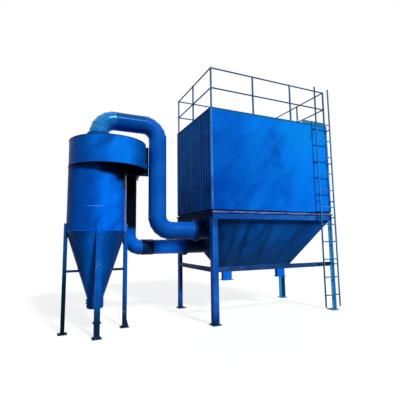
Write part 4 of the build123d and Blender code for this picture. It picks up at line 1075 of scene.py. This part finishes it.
# Painted shade: a band along the top of the crossing duct is darker.
add_patch(crossing_enamel, (0.001, 0.04, 0.15), 0.65, along_z=(cross_z + 0.04, cross_z + 0.14))
drop_x = centre_of("outlet_drop")[0]
branch_z = centre_of("outlet_branch")[2]
riser_x, riser_y = centre_of("inlet_riser")[:2]
run_z = centre_of("inlet_run")[2]
bends = (
    (Vector((AXIS_X, AXIS_Y, cross_z)), up, right, OUTLET_BEND, OUTLET_RADIUS),
    (Vector((drop_x, AXIS_Y, cross_z)), right, -up, OUTLET_BEND, OUTLET_RADIUS),
    (Vector((drop_x, AXIS_Y, branch_z)), -up, right, OUTLET_BEND, OUTLET_RADIUS),
    (Vector((riser_x, riser_y, run_z)), -up, right, RETURN_BEND, RETURN_RADIUS),
)
half_cut = math.radians(90.0 / (2 * BEND_CUTS))
duct_welds = bmesh.new()
for corner, way_in, way_out, bend_radius, tube_radius in bends:
    hub = corner + (way_out - way_in) * bend_radius
    flat = way_in.cross(way_out)
    for cut in range(BEND_CUTS):
        turn = half_cut * (2 * cut + 1)
        spoke = way_in * math.sin(turn) - way_out * math.cos(turn)
        seam = Matrix((spoke, flat, spoke.cross(flat))).transposed().to_4x4()
        seam.translation = hub + spoke * (bend_radius / math.cos(half_cut))
        bead_round(duct_welds, seam, tube_radius, DUCT_BEAD, steps=56, stretch=1.0 / math.cos(half_cut))
    for way, spot in ((way_in, corner - way_in * bend_radius), (way_out, corner + way_out * bend_radius)):
        bead_round(duct_welds, facing(spot, way), tube_radius, DUCT_BEAD, steps=56)
settle("duct_welds", duct_welds, drop_enamel, smooth=True)

# Sleeve: a band of black reinforced rubber over a gap in the return duct, which lets the two ends move.
# A steel band with a worm screw clamps it tight at each end.
rubber = enamel(
    "rubber", (0.0016, 0.014, 0.06), (0.005, 0.035, 0.13), specular=0.2, seed=95.0, cloud_scale=5.0,
    fading=0.6, runs=0.0, smudges=0.5, grime=(0.001, 0.004, 0.012), dullness=0.5, buckle=0.2,
)
SLEEVE_SPAN = (-1.284, -1.044)
SLEEVE_PLAY = 0.001
SLEEVE_SKIN = 0.006
CLAMP_WIDTH = 0.016
CLAMP_SKIN = 0.0025
CLAMP_INSET = 0.012
SCREW_HOUSING = (CLAMP_WIDTH, 0.03, 0.014)
SCREW_HOUSING_SIDE = 0.07
SCREW_HOUSING_TILT = -0.46
WORM_SCREW = 0.01


def turned_band(mesh, seat, inside, outside, length, steps=72):
    """A round band with softened edges, turned about the Z of its seat."""
    for vert in mesh.verts:
        vert.tag = True
    ease = (outside - inside) / 3
    profile = (
        (inside, 0.0), (outside - ease, 0.0), (outside, ease), (outside, length - ease),
        (outside - ease, length), (inside, length),
    )
    corners = [mesh.verts.new((radius, 0.0, rise)) for radius, rise in profile]
    edges = [mesh.edges.new(pair) for pair in zip(corners, corners[1:] + corners[:1])]
    bmesh.ops.spin(
        mesh, geom=corners + edges, cent=(0.0, 0.0, 0.0), axis=(0.0, 0.0, 1.0), angle=2 * math.pi,
        steps=steps, use_merge=True,
    )
    bmesh.ops.transform(mesh, matrix=seat, verts=[vert for vert in mesh.verts if not vert.tag])


sleeve_inside = RETURN_RADIUS + SLEEVE_PLAY
sleeve_outside = sleeve_inside + SLEEVE_SKIN
sleeve_seat = facing((SLEEVE_SPAN[0], riser_y, run_z), right)
sleeve = bmesh.new()
turned_band(sleeve, sleeve_seat, sleeve_inside, sleeve_outside, SLEEVE_SPAN[1] - SLEEVE_SPAN[0])
settle("return_sleeve", sleeve, rubber, smooth=True)
sleeve_clamps = bmesh.new()
clamp_screws = bmesh.new()
for x in (SLEEVE_SPAN[0] + CLAMP_INSET, SLEEVE_SPAN[1] - CLAMP_INSET - CLAMP_WIDTH):
    seat = facing((x, riser_y, run_z), right)
    turned_band(sleeve_clamps, seat, sleeve_outside, sleeve_outside + CLAMP_SKIN, CLAMP_WIDTH)
    screw_spot = Vector((x + CLAMP_WIDTH / 2, riser_y - SCREW_HOUSING_SIDE, run_z - sleeve_outside * 0.9))
    housing = Matrix.Translation(screw_spot) @ Matrix.Rotation(SCREW_HOUSING_TILT, 4, "X")
    ease_edges(clamp_screws, edges_of(block(clamp_screws, housing, SCREW_HOUSING)), 0.002, segments=2)
    screw_end = housing @ Matrix.Translation((0.0, -SCREW_HOUSING[1] / 2, 0.0))
    hex_bolt(clamp_screws, screw_end @ Matrix.Rotation(math.pi / 2, 4, "X"), WORM_SCREW)
settle("sleeve_clamps", sleeve_clamps, rubber, smooth=True)
settle("sleeve_clamp_screws", clamp_screws, fastener_enamel)

# Duct ring bolts: hex bolts through the pairs of flange rings at the neck, the branch and the return run.
# The single ring under the head has one row with its heads down; all are painted over with their rings.
RING_BOLT = 0.016
RING_HALF = 0.0275
OUTLET_ROW = (0.195, 12)
RETURN_ROW = (0.168, 10)
BRANCH_JOINT_X = -0.28575
RUN_JOINT_X = -0.34575
NECK_JOINT_Z = 3.485
UNDER_RING_DROP = 0.026
ring_pairs = (
    (Vector((AXIS_X, AXIS_Y, NECK_JOINT_Z)), up, OUTLET_ROW),
    (Vector((BRANCH_JOINT_X, AXIS_Y, branch_z)), right, OUTLET_ROW),
    (Vector((RUN_JOINT_X, riser_y, run_z)), right, RETURN_ROW),
)
bolt_rows = []
for centre, way, row in ring_pairs:
    for side in (-1.0, 1.0):
        bolt_rows.append((facing(centre + way * side * RING_HALF, way * side), row))
under_ring_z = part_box("inlet_riser")[1][2] - UNDER_RING_DROP
bolt_rows.append((facing((riser_x, riser_y, under_ring_z), -up), RETURN_ROW))
ring_bolts = bmesh.new()
for seat, (pitch_radius, count) in bolt_rows:
    for bolt in range(count):
        turn = Matrix.Rotation(2 * math.pi * (bolt + 0.5) / count, 4, "Z")
        hex_bolt(ring_bolts, seat @ turn @ Matrix.Translation((pitch_radius, 0.0, 0.0)), RING_BOLT)
settle("duct_ring_bolts", ring_bolts, ring_enamel)

# Clean gas outlet: a short stub with a drilled flange on the casing's rear plate, ready for the fan duct.
# It is welded to the plate all round and painted with it; its bolt holes stay open for the next flange.
outlet_enamel = enamel(
    "outlet_enamel", (0.002, 0.11, 0.56), (0.01, 0.2, 0.74), specular=0.15, seed=91.0, cloud_scale=3.0,
    smudges=0.3, dullness=0.34, buckle=0.1,
)
dress(outlet_enamel, "clean_gas_outlet")
STUB_BEAD = 0.006
stub_x, _, stub_z = centre_of("clean_gas_outlet")
stub_weld = bmesh.new()
stub_seat = facing((stub_x, rear_y, stub_z), (0.0, 1.0, 0.0))
bead_round(stub_weld, stub_seat, OUTLET_RADIUS, STUB_BEAD, steps=64)
settle("clean_outlet_weld", stub_weld, outlet_enamel, smooth=True)


# Stage: a pale floor, a soft sky, a broad lamp high at the front right and a weaker one behind.
# A narrow low lamp lifts the return duct out of the shade of the branch.
# The camera, gloss and glass see white; bounced light sees a dimmer floor and a sky dark at the horizon.
def white_to_eye(tree, lit, seen):
    """The lit shader for bounced light, the seen one for what the camera, gloss and glass look at."""
    path = tree.nodes.new("ShaderNodeLightPath")
    eye = reckon(tree, "ADD", path.outputs["Is Camera Ray"], path.outputs["Is Glossy Ray"])
    eye = reckon(tree, "ADD", eye, path.outputs["Is Transmission Ray"])
    chosen = tree.nodes.new("ShaderNodeMixShader")
    tree.links.new(eye, chosen.inputs["Fac"])
    tree.links.new(lit, chosen.inputs[1])
    tree.links.new(seen, chosen.inputs[2])
    return chosen.outputs["Shader"]


FLOOR_HALF = 60.0
FLOOR_GLOW = 0.75
floor_mesh = bmesh.new()
bmesh.ops.create_grid(floor_mesh, x_segments=1, y_segments=1, size=FLOOR_HALF)
floor_data = bpy.data.meshes.new("floor")
floor_mesh.to_mesh(floor_data)
floor_mesh.free()
floor = put_in_scene("floor", floor_data)
floor_paint = bpy.data.materials.new("pale_floor")
floor_paint.use_nodes = True
floor_tree = floor_paint.node_tree
floor_tree.nodes.remove(floor_tree.nodes["Principled BSDF"])
floor_diffuse = floor_tree.nodes.new("ShaderNodeBsdfDiffuse")
floor_diffuse.inputs["Color"].default_value = (0.92, 0.92, 0.92, 1.0)
floor_glow = floor_tree.nodes.new("ShaderNodeEmission")
floor_seen = floor_tree.nodes.new("ShaderNodeMixShader")
floor_seen.inputs["Fac"].default_value = FLOOR_GLOW
floor_tree.links.new(floor_diffuse.outputs["BSDF"], floor_seen.inputs[1])
floor_tree.links.new(floor_glow.outputs["Emission"], floor_seen.inputs[2])
floor_dim = floor_tree.nodes.new("ShaderNodeBsdfDiffuse")
floor_dim.inputs["Color"].default_value = (0.08, 0.085, 0.09, 1.0)
floor_shader = white_to_eye(floor_tree, floor_dim.outputs["BSDF"], floor_seen.outputs["Shader"])
floor_tree.links.new(floor_shader, floor_tree.nodes["Material Output"].inputs["Surface"])
floor_data.materials.append(floor_paint)

SKY_LOW = 0.04
SKY_GAIN = 0.55
SKY_FULL = 0.65
surround = bpy.data.worlds.new("white_surround")
bpy.context.scene.world = surround
surround.use_nodes = True
sky = surround.node_tree
sky_place = sky.nodes.new("ShaderNodeSeparateXYZ")
sky.links.new(sky.nodes.new("ShaderNodeTexCoord").outputs["Generated"], sky_place.inputs["Vector"])
sky_rise = remap(sky, sky_place.outputs["Z"], 0.0, SKY_FULL)
sky_strength = reckon(sky, "ADD", reckon(sky, "MULTIPLY", sky_rise, SKY_GAIN), SKY_LOW)
sky_fill = sky.nodes["Background"]
sky_fill.inputs["Color"].default_value = (0.9, 0.96, 1.0, 1.0)
sky.links.new(sky_strength, sky_fill.inputs["Strength"])
sky_seen = sky.nodes.new("ShaderNodeBackground")
sky_seen.inputs["Color"].default_value = (1.0, 1.0, 1.0, 1.0)
sky_shader = white_to_eye(sky, sky_fill.outputs["Background"], sky_seen.outputs["Background"])
sky.links.new(sky_shader, sky.nodes["World Output"].inputs["Surface"])


def sun_lamp(name, energy, spread, source):
    """A far lamp that shines from the direction of its source."""
    data = bpy.data.lights.new(name, "SUN")
    data.energy = energy
    data.angle = math.radians(spread)
    put_in_scene(name, data).rotation_euler = source.to_track_quat("Z", "Y").to_euler()


LAMP_TURN = math.radians(11.0)
LAMP_RISE = math.radians(38.0)
lamp_from = Vector((
    math.sin(LAMP_TURN) * math.cos(LAMP_RISE),
    -math.cos(LAMP_TURN) * math.cos(LAMP_RISE),
    math.sin(LAMP_RISE),
))
sun_lamp("broad_lamp", 3.4, 8.0, lamp_from)
sun_lamp("back_lamp", 1.2, 40.0, Vector((0.6, 1.0, 0.4)))

LOW_LAMP_PLACE = Vector((-1.0, -1.8, 0.5))
LOW_LAMP_AIM = Vector((-0.78, 0.05, 1.3))
low_lamp_data = bpy.data.lights.new("low_lamp", "SPOT")
low_lamp_data.energy = 110.0
low_lamp_data.spot_size = math.radians(16.0)
low_lamp_data.spot_blend = 0.4
low_lamp_data.shadow_soft_size = 0.1
low_lamp = put_in_scene("low_lamp", low_lamp_data)
low_lamp.location = LOW_LAMP_PLACE
low_lamp.rotation_euler = (LOW_LAMP_PLACE - LOW_LAMP_AIM).to_track_quat("Z", "Y").to_euler()

# Camera: standing eye height in front of the cyclone, turned towards the filter house and tilted up.
# A short lens close to the plant gives the steep lines of the casing and the low view under the head.
CAMERA_PLACE = Vector((-2.98375, -6.408, 1.55))
CAMERA_TURN = math.radians(24.59)
CAMERA_TILT = math.radians(6.8)
CAMERA_ROLL = math.radians(-0.69)
forward = Vector((
    math.sin(CAMERA_TURN) * math.cos(CAMERA_TILT),
    math.cos(CAMERA_TURN) * math.cos(CAMERA_TILT),
    math.sin(CAMERA_TILT),
))
level_right = Vector((math.cos(CAMERA_TURN), -math.sin(CAMERA_TURN), 0.0))
level_up = level_right.cross(forward)
view_right = level_right * math.cos(CAMERA_ROLL) + level_up * math.sin(CAMERA_ROLL)
view_up = level_up * math.cos(CAMERA_ROLL) - level_right * math.sin(CAMERA_ROLL)
camera_data = bpy.data.cameras.new("camera")
camera_data.sensor_width = 36.0
camera_data.lens = 29.64
camera = put_in_scene("camera", camera_data)
camera.location = CAMERA_PLACE
camera.rotation_euler = Matrix((view_right, view_up, -forward)).transposed().to_euler()
bpy.context.scene.camera = camera
bpy.context.scene.view_settings.view_transform = "Standard"
